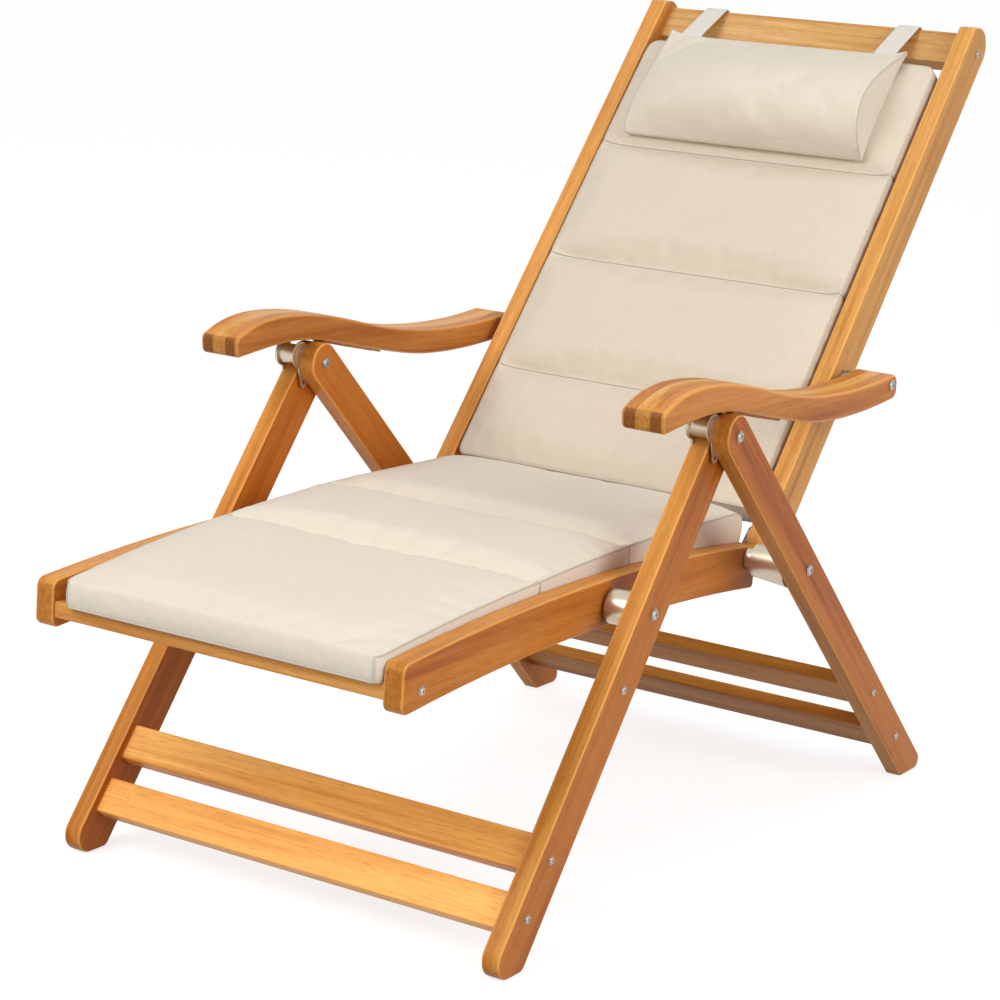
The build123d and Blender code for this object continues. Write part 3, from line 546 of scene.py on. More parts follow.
def swell(piece, held, cap, pressure=4.0, limit=None):
    """Blows the cloth up from its cut shape while the held vertices stay. No point moves further
    than cap, or past the limits on X."""
    start = coordinates(piece)
    group = piece.vertex_groups.new(name="held")
    group.add([int(i) for i in held], 1.0, "REPLACE")
    cloth = piece.modifiers.new("Filling", "CLOTH")
    for name, value in FILLING.items():
        setattr(cloth.settings, name, value)
    cloth.settings.uniform_pressure_force = pressure
    cloth.settings.vertex_group_mass = "held"
    cloth.settings.effector_weights.gravity = 0
    cloth.point_cache.frame_start, cloth.point_cache.frame_end = 1, FILLING_FRAMES
    scene = bpy.context.scene
    for moment in range(1, FILLING_FRAMES + 1):
        scene.frame_set(moment)
    apply_modifiers(piece)
    scene.frame_set(1)
    piece.vertex_groups.clear()
    moved = coordinates(piece) - start
    length = np.linalg.norm(moved, axis=1, keepdims=True)
    after = start + moved * np.minimum(1.0, cap / np.maximum(length, SAME))
    if limit is not None:
        after[:, 0] = np.clip(after[:, 0], *limit)
    piece.data.vertices.foreach_set("co", after.ravel())
    piece.data.update()


def smooth_once(piece):
    """One subdivision. The vertices that were there keep their numbers."""
    modifier = piece.modifiers.new("Smooth", "SUBSURF")
    modifier.levels = modifier.render_levels = 1
    apply_modifiers(piece)
    piece.data.polygons.foreach_set("use_smooth", [True] * len(piece.data.polygons))


def piping(name, piece, loop, radius, closed=True):
    """A round cord of cloth sewn along numbered vertices of a piece."""
    line = bpy.data.curves.new(name, "CURVE")
    line.dimensions = "3D"
    spline = line.splines.new("POLY")
    spline.points.add(len(loop) - 1)
    for point, number in zip(spline.points, loop):
        point.co = (*piece.data.vertices[number].co, 1.0)
    spline.use_cyclic_u = closed
    line.bevel_depth = radius
    line.bevel_resolution = 2
    pick(placed(name, line))
    bpy.ops.object.convert(target="MESH")
    cord = active()
    bpy.ops.object.shade_smooth()
    put_finish(cord, "cushion_piping")
    return cord


def panel_share(s, breaks):
    """0 at each seam and 1 in a panel's middle, with steep shoulders."""
    for low, high in zip(breaks, breaks[1:]):
        if low <= s <= high:
            where = abs(2 * (s - low) / (high - low) - 1)
            return 1 - where ** 5
    return 0.0


def drawn_in(s, seams, depth, width):
    """How far the sewing at the seams draws the cloth in at s."""
    return sum(depth * math.exp(-(((s - seam) / width) ** 2)) for seam in seams)


def quilted_pad(
        name, spot, breaks, heights, half_width, crown, groove, round_ends, rounded_rear=False):
    """A box cushion in panels: crowned, with sewn channels across and boxed sides. Returns it with
    its grid."""
    along = near_seams(breaks)
    if rounded_rear:
        along = [s for s in along if s < breaks[-1] - REAR_CLEAR]
        along += [breaks[-1] - gap for gap in REAR_GAPS]
    grid = Grid(lines_across(half_width, GRID_PITCH), along, PAD_LEVELS)
    seams = breaks[1:-1]

    def place(x, s, level):
        edge = float(np.interp(s, breaks, heights))
        side = abs(x) / half_width
        wave = math.sin(math.pi * level)
        rise = crown * (1 - side ** 5) * (FLAT_SHARE + (1 - FLAT_SHARE) * panel_share(s, breaks))
        rise -= drawn_in(s, seams, groove, CHANNEL_WIDTH) * (1 - side ** 12)
        height = (edge + (rise if level == 1.0 else 0.0)) * level
        low_wave = math.sin(math.pi * min(1, level * 0.9))
        pinch = drawn_in(s, seams, PINCH_DEPTH, PINCH_WIDTH) * low_wave
        front, rear = s - breaks[0], breaks[-1] - s
        inward = 0.0
        for gap, radius in zip((front, rear), round_ends):
            if gap < radius and side > CORNER_START:
                sunk = 1 - math.sqrt(max(0.0, 1 - (1 - gap / radius) ** 2))
                inward = max(inward, radius * sunk * CORNER_SHARE)
        on_side = abs(abs(x) - half_width) < SAME
        out = math.copysign(1.0, x) if on_side else 0.0
        x_out = x + out * (SIDE_BULGE * wave - pinch) - math.copysign(inward, x)
        if front < SAME:
            s -= END_BULGE * wave
        if rear < SAME:
            s += END_BULGE * wave
        return spot(x_out, s, height)

    return cloth_box(name, grid, place), grid


def seam_shade_cords(name, pad, grid, seams):
    """A cord along each channel's sewn seam, over the panel and down both sides. Its dark tone is
    painted shade in the seam's valley.
    """
    last_i, _, last_k = grid.last
    seam_cords = []
    for number, j in enumerate(grid.rows_of(seams)):
        loop = [(0, j, k) for k in range(last_k)] + [(i, j, last_k) for i in range(last_i + 1)]
        loop += [(last_i, j, k) for k in range(last_k - 1, -1, -1)]
        thread = piping(
            f"{name}_thread_{number + 1}", pad, grid.numbers(loop), SEAM_SHADE_RADIUS, closed=False)
        put_finish(thread, "channel_thread")
        seam_cords.append(thread)
    return seam_cords


def hold_for(grid, seams):
    """Vertices that stay while a pad swells: its underside, its outlines and its channels."""
    last_i, last_j, last_k = grid.last
    sewn = grid.rows_of(seams)
    held = []
    for (i, j, k), number in grid.index.items():
        at_side, at_end = i in (0, last_i), j in (0, last_j)
        outline = k == last_k and (at_side or at_end)
        channel = j in sewn and (k == last_k or at_side)
        if k == 0 or outline or channel or (at_side and at_end):
            held.append(number)
    return held


# Properties


def in_metres(name, default, description):
    return FloatProperty(name=name, description=description, default=default, unit="LENGTH")


def as_colour(name, default, description):
    return FloatVectorProperty(
        name=name, description=description, default=default, subtype="COLOR", size=3)


class ArmchairSizes(bpy.types.PropertyGroup):
    """Sizes of what is made round the frame"""

    seat_crown: in_metres(
        "Seat crown", 0.008, "How far the seat cushion's panels rise over their edges")
    back_crown: in_metres(
        "Back crown", 0.008, "How far the back cushion's panels rise over their edges")
    piping_radius: in_metres(
        "Piping radius", 0.0013, "Radius of the sewn cord along the cushions' edges")
    channel_depth: in_metres("Channel depth", 0.013, "Depth of the sewn channels between panels")
    swelling: in_metres("Swelling", 0.006, "How far the filling may push the cloth out")
    pillow_thickness: in_metres(
        "Pillow thickness", 0.070, "Front bulge of the head pillow over its flat back")
    strap_width: in_metres("Strap width", 0.032, "Width of the pillow's two straps")
    strap_thickness: in_metres("Strap thickness", 0.0018, "Thickness of the pillow's two straps")


class ArmchairColours(bpy.types.PropertyGroup):
    """Colours of the finishes, linear"""

    wood_light: as_colour("Wood, light", (0.78, 0.385, 0.105), "Pale streaks of the oiled hardwood")
    wood_middle: as_colour("Wood, middle", (0.63, 0.265, 0.056), "Main tone of the oiled hardwood")
    wood_dark: as_colour("Wood, dark", (0.38, 0.125, 0.020), "Dark streaks of the oiled hardwood")
    linen: as_colour("Linen", (0.80, 0.715, 0.595), "Cream linen of the cushions and the pillow")
    webbing: as_colour("Webbing", (0.80, 0.75, 0.68), "Cream tape of the pillow's straps")
    steel: as_colour("Steel", (0.46, 0.455, 0.44), "Screws, bolts and washers")


class ArmchairStudio(bpy.types.PropertyGroup):
    """Light and camera"""

    sky: FloatProperty(
        name="Sky", description="Strength of the even light from all round", default=0.55)
    key: FloatProperty(
        name="Key lamp", description="Power of the large soft lamp", default=110.0, unit="POWER")
    lens: FloatProperty(
        name="Lens", description="Focal length on a 36 mm sensor", default=98.11, unit="CAMERA")


# Operators


def matching(name, table, fallback, fits=str.startswith):
    """The first entry of a table whose key fits a name."""
    return next((entry for key, entry in table.items() if fits(name, key)), fallback)


class ARMCHAIR_OT_finishes(bpy.types.Operator):
    """Makes the finishes and gives every board and fitting of the frame its own"""

    bl_idname = "armchair.finishes"
    bl_label = "Finishes"

    def execute(self, context):
        colours = context.scene.armchair_colours
        steel_finish("bright_steel", colours.steel)
        cloth_finish("cushion_linen", colours.linen, *LINEN_WEAVE)
        # The back cushion gets the linen darkened: painted shade.
        cloth_finish("back_linen", tinted(colours.linen, BACK_LINEN_SHADE), *LINEN_WEAVE)
        # The seam cords are the linen at half its tone: painted shade in the channels' valleys.
        cord_finish("channel_thread", darker(colours.linen, 0.50))
        cloth_finish("strap_tape", colours.webbing, *TAPE_WEAVE)
        cord_finish("cushion_piping", darker(colours.linen, 0.74))
        slots = {piece["node"]: piece["material_slot"] for piece in frame["record"]["subparts"]}
        for number, name in enumerate(sorted(frame["nodes"])):
            if slots[name] == "oiled_hardwood":
                varied = (0.93 + 0.035 * (number * 7 % 5), 0.85, 0.05 * (number * 3 % 4), FLAT_END)
                finish = f"wood_{name}"
                wood_finish(
                    finish, matching(name, BOARD_TURNS, CROSSWISE), number + 1,
                    matching(name, STRIP_TONES, varied, str.endswith),
                    matching(name, BOARD_TINTS, (PALE, PALE)))
            else:
                finish = SLOT_FINISHES[slots[name]]
            put_finish(frame["nodes"][name], finish)
        return {"FINISHED"}


class ARMCHAIR_OT_seat_cushion(bpy.types.Operator):
    """Makes the seat's long cushion of three panels, with its piping"""

    bl_idname = "armchair.seat_cushion"
    bl_label = "Seat cushion"

    def execute(self, context):
        sizes = context.scene.armchair_sizes
        breaks = (-0.606, *SEAMS_OF_SEAT, 0.212)
        heights = (0.0300, 0.0360, 0.0452, 0.0465)
        half_width, rear_round, taper, rear_middle = 0.2205, 0.034, 0.018, 0.027

        def spot(x, s, height):
            """Draws the front in on the sitter's right, and rounds the rear end over and under."""
            share = max(0.0, (breaks[1] - s) / (breaks[1] - breaks[0]))
            x += taper * share * (half_width - x) / (2 * half_width)
            gap = min(1.0, max(0.0, (breaks[-1] - s) / rear_round))
            fullness = 0.14 + 0.86 * math.sqrt(1 - (1 - gap) ** 2)
            return seat_spot(x, s, rear_middle + (height - rear_middle) * fullness)

        pad, grid = quilted_pad(
            "seat_cushion_cover", spot, breaks, heights, half_width, sizes.seat_crown,
            sizes.channel_depth, (0.012, 0.014), rounded_rear=True)
        swell(pad, hold_for(grid, SEAMS_OF_SEAT), sizes.swelling, limit=(-0.2265, 0.2185))
        smooth_once(pad)
        put_finish(pad, "cushion_linen")
        last_i = grid.last[0]
        cords = [
            piping(f"seat_piping_{side}", pad, grid.side_loop(i), sizes.piping_radius)
            for side, i in (("right", 0), ("left", last_i))
        ]
        front = grid.numbers((i, 0, 0) for i in range(last_i + 1))
        cords.append(piping("seat_piping_front", pad, front, sizes.piping_radius, closed=False))
        cords += seam_shade_cords("seat", pad, grid, SEAMS_OF_SEAT)
        for piece in (pad, *cords):
            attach(piece, "seat")
        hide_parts("seat_cushion")
        return {"FINISHED"}


class ARMCHAIR_OT_back_cushion(bpy.types.Operator):
    """Makes the back's cushion of four panels, with its piping"""

    bl_idname = "armchair.back_cushion"
    bl_label = "Back cushion"

    def execute(self, context):
        sizes = context.scene.armchair_sizes
        breaks = (0.027, *SEAMS_OF_BACK, 0.7416)
        heights = (0.040, 0.042, 0.042, 0.042, 0.040)
        sunk = 0.0073

        def spot(x, s, height):
            return back_spot(x, s, height - sunk)

        pad, grid = quilted_pad(
            "back_cushion_cover", spot, breaks, heights, 0.2245, sizes.back_crown,
            sizes.channel_depth, (0.012, 0.018))
        swell(pad, hold_for(grid, SEAMS_OF_BACK), sizes.swelling, limit=(-0.2340, 0.2260))
        smooth_once(pad)
        put_finish(pad, "back_linen")
        cords = [
            piping("back_piping_front", pad, grid.panel_loop(grid.last[2]), sizes.piping_radius),
            piping("back_piping_rear", pad, grid.panel_loop(0), sizes.piping_radius),
            *seam_shade_cords("back", pad, grid, SEAMS_OF_BACK),
        ]
        for piece in (pad, *cords):
            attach(piece, "back")
        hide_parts("back_cushion")
        return {"FINISHED"}


class ARMCHAIR_OT_head_pillow(bpy.types.Operator):
    """Makes the head pillow, flat behind and round in front, with ears at its upper corners"""

    bl_idname = "armchair.head_pillow"
    bl_label = "Head pillow"

    def execute(self, context):
        sizes = context.scene.armchair_sizes
        half_width, low, high = 0.185, 0.567, 0.748
        rear_height, thinnest, seam_radius = 0.0425, 0.005, 0.0011
        along = stops_between(
            [low, low + 0.004, low + 0.010, high - 0.010, high - 0.004, high], 0.007)
        grid = Grid(lines_across(half_width, 0.008), along, (0.0, 0.17, 0.34, 0.5, 0.67, 0.84, 1.0))

        def place(x, s, level):
            """Thins to both edges and to the sitter's right, and pulls the upper corners out."""
            t = (s - low) / (high - low)
            side = abs(x) / half_width
            bow = math.sin(math.pi * min(1.0, max(0.0, t)) ** 0.60) ** 1.05
            far_end = max(0.0, -x / half_width) ** 2
            fullness = 1 - 0.06 * side ** 4 - 0.66 * far_end
            thick = thinnest + (sizes.pillow_thickness - thinnest) * bow * fullness
            ear = max(0.0, t - 0.93) / 0.07
            upward = 0.006 * ear ** 2 * side ** 14
            upward -= 0.004 * (1 - side ** 6) * max(0.0, t - 0.6) / 0.4
            waist = 0.003 * math.sin(math.pi * t) + 0.004 * max(0.0, t - 0.5) - 0.002 * ear
            x_in = math.copysign(abs(x) - waist * side ** 6, x)
            return back_spot(PILLOW_MIDDLE + x_in, s + upward, rear_height + thick * level)

        pillow = cloth_box("head_pillow_cover", grid, place)
        last_i, last_j, last_k = grid.last
        held = [
            number for (i, j, k), number in grid.index.items()
            if k == 0 or j in (0, last_j) or (i in (0, last_i) and k == last_k)
        ]
        swell(pillow, held, 0.004, pressure=2.0)
        smooth_once(pillow)
        put_finish(pillow, "cushion_linen")
        cords = []
        for side, i in (("right", 0), ("left", last_i)):
            gusset = grid.numbers((i, j, last_k) for j in range(last_j + 1))
            cords.append(piping(f"pillow_seam_{side}", pillow, gusset, seam_radius, closed=False))
        for piece in (pillow, *cords):
            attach(piece, "back")
        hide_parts("head_pillow")
        return {"FINISHED"}


class ARMCHAIR_OT_pillow_straps(bpy.types.Operator):
    """Makes the two flat straps from the pillow over the top crossbar"""

    bl_idname = "armchair.pillow_straps"
    bl_label = "Pillow straps"

    def execute(self, context):
        sizes = context.scene.armchair_sizes
        # Reach up the back and height over its plane
        route = smooth_path([
            (0.690, 0.0425), (0.735, 0.0440), (0.752, 0.0415), (0.772, 0.0330), (0.800, 0.0205),
            (0.8215, 0.0105), (0.8248, 0.0070), (0.8262, 0.0025), (0.8262, -0.0100),
            (0.8245, -0.0145), (0.8205, -0.0166), (0.800, -0.0172), (0.765, -0.0168),
        ], 3)
        steps = np.diff(np.array(route), axis=0)
        run = np.concatenate([[0.0], np.cumsum(np.hypot(steps[:, 0], steps[:, 1]))])
        for side, sign in SIDES.items():
            middle = PILLOW_MIDDLE + sign * STRAP_SPREAD
            lines = stops_between(
                [middle - sizes.strap_width / 2, middle + sizes.strap_width / 2], 0.0047)
            columns = len(lines)
            mesh = bpy.data.meshes.new(f"strap_{side}")
            faces = [
                (start, start + 1, start + columns + 1, start + columns)
                for row in range(len(route) - 1)
                for start in range(row * columns, (row + 1) * columns - 1)
            ]
            mesh.from_pydata(
                [back_spot(x, reach, height) for reach, height in route for x in lines], [], faces)
            marks = [
                value for face in faces for n in face
                for value in (lines[n % columns], run[n // columns])
            ]
            mesh.uv_layers.new(name="weave").data.foreach_set("uv", marks)
            strap = placed(f"pillow_strap_{side}_tape", mesh)
            solid = strap.modifiers.new("Thickness", "SOLIDIFY")
            solid.thickness = sizes.strap_thickness
            solid.offset = 1.0
            edge = strap.modifiers.new("Edge", "BEVEL")
            edge.width, edge.segments = 0.0005, 2
            apply_modifiers(strap)
            smooth_by_angle(strap, 40)
            put_finish(strap, "strap_tape")
            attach(strap, "back")
            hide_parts(f"pillow_strap_{side}")
        return {"FINISHED"}


def smooth_path(points, count):
    """Points on a smooth curve through the given ones, count to each stretch."""
    made = []
    padded = [points[0], *points, points[-1]]
    for four in zip(padded, padded[1:], padded[2:], padded[3:]):
        for step in range(count):
            t = step / count
            made.append(tuple(
                0.5 * (
                    2 * q + (r - p) * t + (2 * p - 5 * q + 4 * r - s) * t ** 2
                    + (3 * q - p - 3 * r + s) * t ** 3)
                for p, q, r, s in zip(*four)))
    return made + [points[-1]]


# Metal parts

# Rims nearer than this across +X belong to one bolt, and its own points lie this near its ends
RIM_REACH, RIM_DEPTH = 0.0085, 0.0002

# How far a shank's ends stay inside its heads, and the radii of shanks
SHANK_INSET = 0.001
SCREW_SHANK, BOLT_SHANK = 0.0025, 0.004

# An end thinner than the first radius has no head, and one of the second radius has a nut
BARE_RADIUS, NUT_RADIUS, NUT_TOLERANCE = 0.0035, 0.0075, 0.0001
NUT_HEIGHT = 0.005

# Height of a head by the radius it has to exceed, and how much wider the head is made
HEAD_HEIGHTS = ((0.007, 0.0035), (0.005, 0.003), (0.0, 0.0015))
HEAD_MARGIN = 0.0002

# Heights of the patterns, which are 1 unit in radius
HEAD_PATTERN, NUT_PATTERN = 0.5, 0.83

# The body that each node of fasteners rides on
FASTENER_BODIES = {
    "front_frame_screws": "front_legs", "rear_frame_screws": "rear_legs",
    "seat_frame_screws": "seat", "back_frame_screws": "back", "leg_pivot_bolts": "front_legs",
    "seat_pivot_bolts": "front_legs", "rear_seat_bolts": "rear_legs", "armrest_bolts": "back",
}

# Outlines of the turned parts, (radius, height) from the lower face to the upper one
HUB_OUTLINE = [
    (0.0070, -0.0014), (0.0084, -0.0010), (0.0094, 0.0), (0.0112, 0.0), (0.0118, 0.0006),
    (0.0152, 0.0004), (0.0168, 0.0012), (0.0170, 0.0022), (0.0165, 0.0040), (0.0128, 0.0040),
    (0.0128, 0.0280), (0.0166, 0.0280), (0.0170, 0.0284), (0.0168, 0.0289), (0.0152, 0.0292),
    (0.0120, 0.0289), (0.0108, 0.0289), (0.0098, 0.0292),
]
BUSH_OUTLINE = [
    (0.0192, 0.0), (0.0206, 0.0006), (0.0210, 0.0020), (0.0210, 0.0330), (0.0206, 0.0344),
    (0.0192, 0.0350),
]

# Where the hubs' lower faces and the seat bushes' stand on X, and the heights of a hub's plates
HUB_STARTS = {"left": 0.280, "right": -0.312}
BUSH_START = 0.249
HUB_PLATES = ((0.0010, 0.0040), (0.0280, 0.0290))
PLATE_HALF_WIDTH = 0.0068


def fasteners(node):
    """The bolts or screws of a CAD node, each as axis y, axis z, low x, high x, and its radius at
    both ends."""
    found = []
    for spot in coordinates(frame["nodes"][node]):
        near = [
            group for group in found
            if (group[0][0] > 0) == (spot[0] > 0)
            and min(math.dist(spot[1:], other[1:]) for other in group) < RIM_REACH
        ]
        merged = [spot] + [other for group in near for other in group]
        found = [group for group in found if not any(group is other for other in near)] + [merged]
    rows = []
    for group in map(np.array, found):
        low, high = group.min(0), group.max(0)
        middle = (low + high) / 2
        radii = []
        for end in (low[0], high[0]):
            rim = group[np.abs(group[:, 0] - end) < RIM_DEPTH]
            radii.append(float(np.hypot(rim[:, 1] - middle[1], rim[:, 2] - middle[2]).max()))
        rows.append((middle[1], middle[2], low[0], high[0], *radii))
    return sorted(rows)


def cylinder(sides, radius, low, high, x=0.0):
    """A new bar along +Z between two heights."""
    clear_selection()
    bpy.ops.mesh.primitive_cylinder_add(
        vertices=sides, radius=radius, depth=high - low, location=(x, 0, (low + high) / 2))
    bpy.ops.object.transform_apply(location=True, rotation=True, scale=True)
    return active()


def block(size, middle, turn=0.0):
    """A new box of that size about its middle, turned about +Z."""
    clear_selection()
    bpy.ops.mesh.primitive_cube_add(size=1.0, location=middle, rotation=(0, 0, turn))
    made = active()
    made.scale = size
    bpy.ops.object.transform_apply(location=True, rotation=True, scale=True)
    return made


def edit_top(piece, lower_too=False):
    """Goes to edit mode with only the upper face of a piece selected, or both end faces."""
    bpy.ops.object.mode_set(mode="EDIT")
    mesh = bmesh.from_edit_mesh(piece.data)
    for element in (*mesh.verts, *mesh.edges, *mesh.faces):
        element.select_set(False)
    for face in mesh.faces:
        if face.normal.z > 0.9 or (lower_too and face.normal.z < -0.9):
            face.select_set(True)
    bmesh.update_edit_mesh(piece.data)


def raise_face(rise, size=None):
    """Extrudes the selected face up, and makes it that much wider or narrower."""
    bpy.ops.mesh.extrude_region_move(TRANSFORM_OT_translate={"value": (0, 0, rise)})
    if size is not None:
        bpy.ops.transform.resize(value=(size, size, 1.0))


def bevel_edges(piece, width):
    bevel = piece.modifiers.new("Edge", "BEVEL")
    bevel.width, bevel.segments, bevel.limit_method = width, 2, "ANGLE"
    apply_modifiers(piece)


def combine(part, other, how):
    """Joins another solid to a part, or cuts it out, and removes it."""
    change = part.modifiers.new("Combined", "BOOLEAN")
    change.operation, change.object, change.solver = how, other, "EXACT"
    apply_modifiers(part)
    bpy.data.objects.remove(other)


def finished_pattern(piece, name):
    bpy.ops.object.mode_set(mode="OBJECT")
    smooth_by_angle(piece, 32)
    piece.name = name
    return piece


def cross_head():
    """A cross-slotted pan head on a thin washer, 1 unit in radius and 0.5 high, standing on z 0."""
    head = cylinder(40, 1.0, 0.0, 0.12)
    edit_top(head)
    bpy.ops.mesh.inset(thickness=0.17, depth=0.0)
    for rise, size in ((0.14, 1.0), (0.12, 0.955), (0.075, 0.88), (0.04, 0.72)):
        raise_face(rise, size)
    bpy.ops.object.mode_set(mode="OBJECT")
    bevel_edges(head, 0.03)
    for turn in (0.0, math.pi / 2):
        combine(head, block((0.92, 0.19, 0.42), (0, 0, 0.46), turn), "DIFFERENCE")
    return finished_pattern(head, "cross_head")


def hex_nut():
    """A hexagonal nut with its rims eased, 1 unit in radius and 0.83 high, standing on z 0."""
    nut = cylinder(6, 1.0, 0.0, 0.67)
    edit_top(nut)
    bpy.ops.mesh.inset(thickness=0.36, depth=0.0)
    raise_face(0.16)
    bpy.ops.object.mode_set(mode="OBJECT")
    bevel_edges(nut, 0.06)
    return finished_pattern(nut, "hex_nut")


def plain_shank():
    """A round bar, 1 unit in radius, from z 0 to z 1."""
    shank = cylinder(20, 1.0, 0.0, 1.0)
    edit_top(shank, lower_too=True)
    bpy.ops.mesh.inset(thickness=0.15, depth=0.0)
    return finished_pattern(shank, "plain_shank")


def turned(name, outline):
    """A round metal part along +Z from its outline."""
    (first, low), (second, high) = outline[:2]
    part = cylinder(56, first, low, high)
    edit_top(part)
    bpy.ops.transform.resize(value=(second / first, second / first, 1.0))
    for (before, height), (radius, top) in zip(outline[1:], outline[2:]):
        raise_face(top - height, radius / before)
    bpy.ops.object.mode_set(mode="OBJECT")
    part.name = name
    return part


def tail_plate(low, high):
    """A flat plate from the hub's axis to its rounded end on +X, between two heights."""
    plate = block(
        (HUB_REACH, 2 * PLATE_HALF_WIDTH, high - low), (HUB_REACH / 2, 0, (low + high) / 2))
    combine(plate, cylinder(40, PLATE_HALF_WIDTH, low, high, HUB_REACH), "UNION")
    return plate


def stamped(pattern, spot, outward, sizes=(1, 1, 1), spin=0.0):
    """A copy of a pattern on its own mesh, standing at spot with its top towards +X or -X."""
    copy = placed(pattern.name, pattern.data.copy())
    tilt = Euler((0, math.pi / 2 * outward, 0)).to_matrix().to_4x4()
    turn = Matrix.Rotation(spin, 4, "Z")
    copy.data.transform(Matrix.Translation(spot) @ tilt @ turn @ Matrix.Diagonal((*sizes, 1.0)))
    return copy


def joined(parts, name):
    """One piece made of all parts."""
    pick(parts[0])
    for part in parts:
        part.select_set(True)
    bpy.ops.object.join()
    made = active()
    made.name = name
    return made


def remove_all(pieces):
    for piece in pieces:
        bpy.data.objects.remove(piece)


class ARMCHAIR_OT_fasteners(bpy.types.Operator):
    """Makes the cross-slotted screws and bolts with washers and nuts, where the frame has them"""

    bl_idname = "armchair.fasteners"
    bl_label = "Fasteners"

    def execute(self, context):
        head, nut, shank = patterns = [cross_head(), hex_nut(), plain_shank()]
        for node, body in FASTENER_BODIES.items():
            thin = SCREW_SHANK if node.endswith("screws") else BOLT_SHANK
            parts = []
            for number, (y, z, low, high, low_radius, high_radius) in enumerate(fasteners(node)):
                run = high - low - 2 * SHANK_INSET
                parts.append(stamped(shank, (low + SHANK_INSET, y, z), 1, (thin, thin, run)))
                for end, radius, outward in ((low, low_radius, -1), (high, high_radius, 1)):
                    if radius < BARE_RADIUS:
                        continue
                    if abs(radius - NUT_RADIUS) < NUT_TOLERANCE:
                        pattern, tall, unit, full = nut, NUT_HEIGHT, NUT_PATTERN, radius
                    else:
                        tall = next(height for over, height in HEAD_HEIGHTS if radius > over)
                        pattern, unit, full = head, HEAD_PATTERN, radius + HEAD_MARGIN
                    parts.append(stamped(
                        pattern, (end - outward * tall, y, z), outward, (full, full, tall / unit),
                        0.5 + number * 1.3))
            made = joined(parts, f"{node}_detail")
            put_finish(made, "bright_steel")
            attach(made, body)
            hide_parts(node)
        remove_all(patterns)
        return {"FINISHED"}


class ARMCHAIR_OT_pivots(bpy.types.Operator):
    """Makes the metal hubs that the armrests rest on, and the bushes at the seat's pivots"""

    bl_idname = "armchair.pivots"
    bl_label = "Pivots"

    def execute(self, context):
        hub = turned("hub", HUB_OUTLINE)
        for low, high in HUB_PLATES:
            combine(hub, tail_plate(low, high), "UNION")
        bore = turned("bore", [(0.0027, -0.002), (0.0027, 0.032)])
        bore.data.transform(Matrix.Translation((HUB_REACH, 0, 0)))
        combine(hub, bore, "DIFFERENCE")
        lean = math.atan2(HUB_TAIL[0], -HUB_TAIL[1])
        for side, start in HUB_STARTS.items():
            made = stamped(hub, (start, *HUB_CENTRE), 1, spin=lean)
            smooth_by_angle(made, 34)
            made.name = f"leg_top_hub_{side}_detail"
            put_finish(made, "bronzed_metal")
            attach(made, "front_legs")
            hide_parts(f"leg_top_hub_{side}")
        bush = turned("bush", BUSH_OUTLINE)
        combine(bush, turned("bore", [(0.0041, -0.001), (0.0041, 0.036)]), "DIFFERENCE")
        spots = coordinates(frame["nodes"]["seat_pivot_bushes"])
        middle = (spots.min(0) + spots.max(0)) / 2
        halves = [stamped(bush, (BUSH_START * sign, *middle[1:]), sign) for sign in SIDES.values()]
        made = joined(halves, "seat_pivot_bushes_detail")
        smooth_by_angle(made, 34)
        put_finish(made, "bronzed_metal")
        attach(made, "front_legs")
        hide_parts("seat_pivot_bushes")
        remove_all((hub, bush))
        return {"FINISHED"}


# Light and camera

# Each soft lamp's place, diameter and share of the key lamp's power, and what they all aim at
LAMPS = {
    "key_lamp": ((-1.2, -3.8, 3.2), 2.6, 1.0),
    "side_lamp": ((3.6, -0.8, 2.0), 2.4, 0.60),
}
LAMP_TARGET = Vector((0, 0.1, 0.45))

# The floor lies just under the feet, with this tone where it is lit and this glow where it is seen
FLOOR_SIZE, FLOOR_DROP = 400.0, 0.0005
FLOOR_TONE, FLOOR_GLOW = 0.45, 0.74
WHITE = (1, 1, 1, 1)

# The fitted camera: place, turns in degrees, and shift of the picture's middle
CAMERA_SPOT = (1.7142, -2.9340, 1.1425)
CAMERA_YAW, CAMERA_PITCH, CAMERA_ROLL = 31.2765, 12.2233, 3.9969
CAMERA_SHIFT = (-0.0017, -0.0049)
SENSOR_WIDTH = 36.0


def lay_floor():
    """A wide matt floor that shows bright to the camera."""
    clear_selection()
    bpy.ops.mesh.primitive_plane_add(size=FLOOR_SIZE, location=(0, 0, -FLOOR_DROP))
    floor = active()
    floor.name = "studio_floor"
    finish = Finish("studio_white")
    finish.fill(finish.shader, {
        "Base Color": (FLOOR_TONE, FLOOR_TONE, FLOOR_TONE, 1), "Roughness": 1.0,
        "Specular IOR Level": 0.0,
    })
    glow = finish.node("Emission", {
        "Strength": finish.times(finish.seen_rays(), FLOOR_GLOW),
    })
    both = finish.node("AddShader", {0: finish.shader.outputs[0], 1: glow.outputs[0]})
    finish.join(both.outputs[0], finish.output.inputs[0])
    put_finish(floor, "studio_white")
    return floor


def make_sky(strength):
    """An even white sky that lights with this strength and is seen as plain white."""
    world = bpy.data.worlds.new("studio_sky")
    world.use_nodes = True
    sky = Nodes(world.node_tree)
    even = sky.node("Background", {"Color": WHITE, "Strength": strength})
    white = sky.node("Background", {"Color": WHITE, "Strength": 1.0})
    mixer = sky.node("MixShader", {0: sky.seen_rays(), 1: even.outputs[0], 2: white.outputs[0]})
    sky.join(mixer.outputs[0], sky.node("OutputWorld").inputs[0])
    return world


def hang_lamp(name, spot, size, power):
    lamp = bpy.data.lights.new(name, "AREA")
    lamp.shape = "DISK"
    lamp.size = size
    lamp.energy = power
    holder = placed(name, lamp)
    holder.location = spot
    holder.rotation_euler = (LAMP_TARGET - Vector(spot)).to_track_quat("-Z", "Y").to_euler()


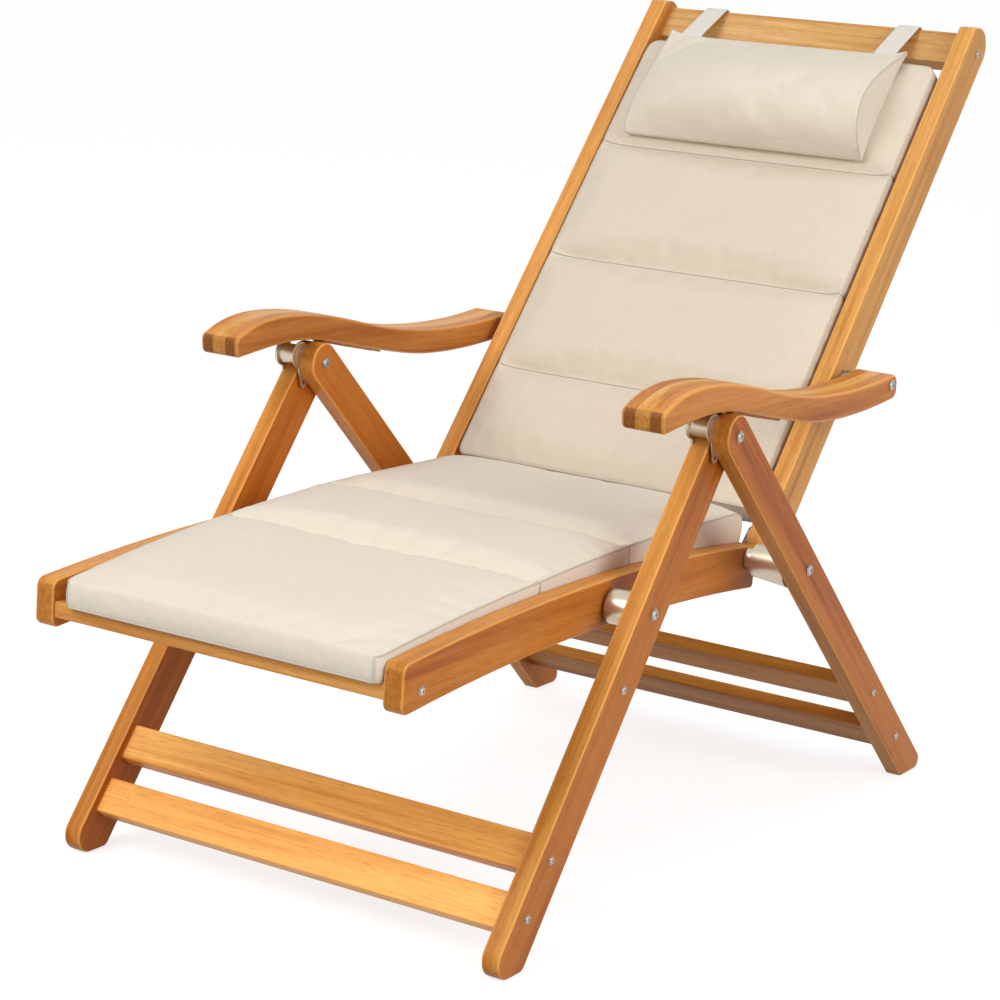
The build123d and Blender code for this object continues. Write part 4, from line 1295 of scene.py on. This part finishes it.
def set_camera(focal_length):
    """The camera at its fitted place."""
    yaw, pitch, roll = map(math.radians, (CAMERA_YAW, CAMERA_PITCH, CAMERA_ROLL))
    backward = Vector((
        math.sin(yaw) * math.cos(pitch), -math.cos(yaw) * math.cos(pitch), math.sin(pitch)))
    level = Vector((math.cos(yaw), math.sin(yaw), 0))
    upward = backward.cross(level)
    right = level * math.cos(roll) + upward * math.sin(roll)
    top = upward * math.cos(roll) - level * math.sin(roll)
    lens = bpy.data.cameras.new("studio_camera")
    lens.lens = focal_length
    lens.sensor_width = SENSOR_WIDTH
    lens.shift_x, lens.shift_y = CAMERA_SHIFT
    camera = placed("studio_camera", lens)
    turn = Matrix((right, top, backward)).transposed().to_4x4()
    camera.matrix_world = Matrix.Translation(CAMERA_SPOT) @ turn
    return camera


class ARMCHAIR_OT_studio(bpy.types.Operator):
    """Lays the pale floor and sets the soft lamps, the sky and the camera"""

    bl_idname = "armchair.studio"
    bl_label = "Studio"

    def execute(self, context):
        scene = context.scene
        studio = scene.armchair_studio
        floor = lay_floor()
        scene.world = make_sky(studio.sky)
        for name, (spot, size, share) in LAMPS.items():
            hang_lamp(name, spot, size, studio.key * share)
        scene.camera = set_camera(studio.lens)
        scene.view_settings.view_transform = "Standard"
        return {"FINISHED"}


STEPS = (
    ARMCHAIR_OT_finishes, ARMCHAIR_OT_seat_cushion, ARMCHAIR_OT_back_cushion,
    ARMCHAIR_OT_head_pillow, ARMCHAIR_OT_pillow_straps, ARMCHAIR_OT_fasteners, ARMCHAIR_OT_pivots,
    ARMCHAIR_OT_studio,
)


class ARMCHAIR_PT_sidebar(bpy.types.Panel):
    """Lists the armchair's sizes, colours and steps"""

    bl_idname = "ARMCHAIR_PT_sidebar"
    bl_label = "Armchair"
    bl_space_type = "VIEW_3D"
    bl_region_type = "UI"
    bl_category = "Armchair"

    def draw(self, context):
        layout = self.layout
        for group in ("armchair_sizes", "armchair_colours", "armchair_studio"):
            values = getattr(context.scene, group)
            column = layout.column()
            for name in values.__annotations__:
                column.prop(values, name)
        for step in STEPS:
            layout.operator(step.bl_idname)


GROUPS = {
    "armchair_sizes": ArmchairSizes, "armchair_colours": ArmchairColours,
    "armchair_studio": ArmchairStudio,
}


def register():
    for kind in (*GROUPS.values(), *STEPS, ARMCHAIR_PT_sidebar):
        bpy.utils.register_class(kind)
    for name, kind in GROUPS.items():
        setattr(bpy.types.Scene, name, PointerProperty(type=kind))


def unregister():
    for name in GROUPS:
        delattr(bpy.types.Scene, name)
    for kind in reversed((*GROUPS.values(), *STEPS, ARMCHAIR_PT_sidebar)):
        bpy.utils.unregister_class(kind)


def main():
    register()
    for step in STEPS:
        area, name = step.bl_idname.split(".")
        if getattr(getattr(bpy.ops, area), name)() != {"FINISHED"}:
            raise RuntimeError(f"{step.bl_idname} did not finish")


if __name__ == "__main__":
    main()
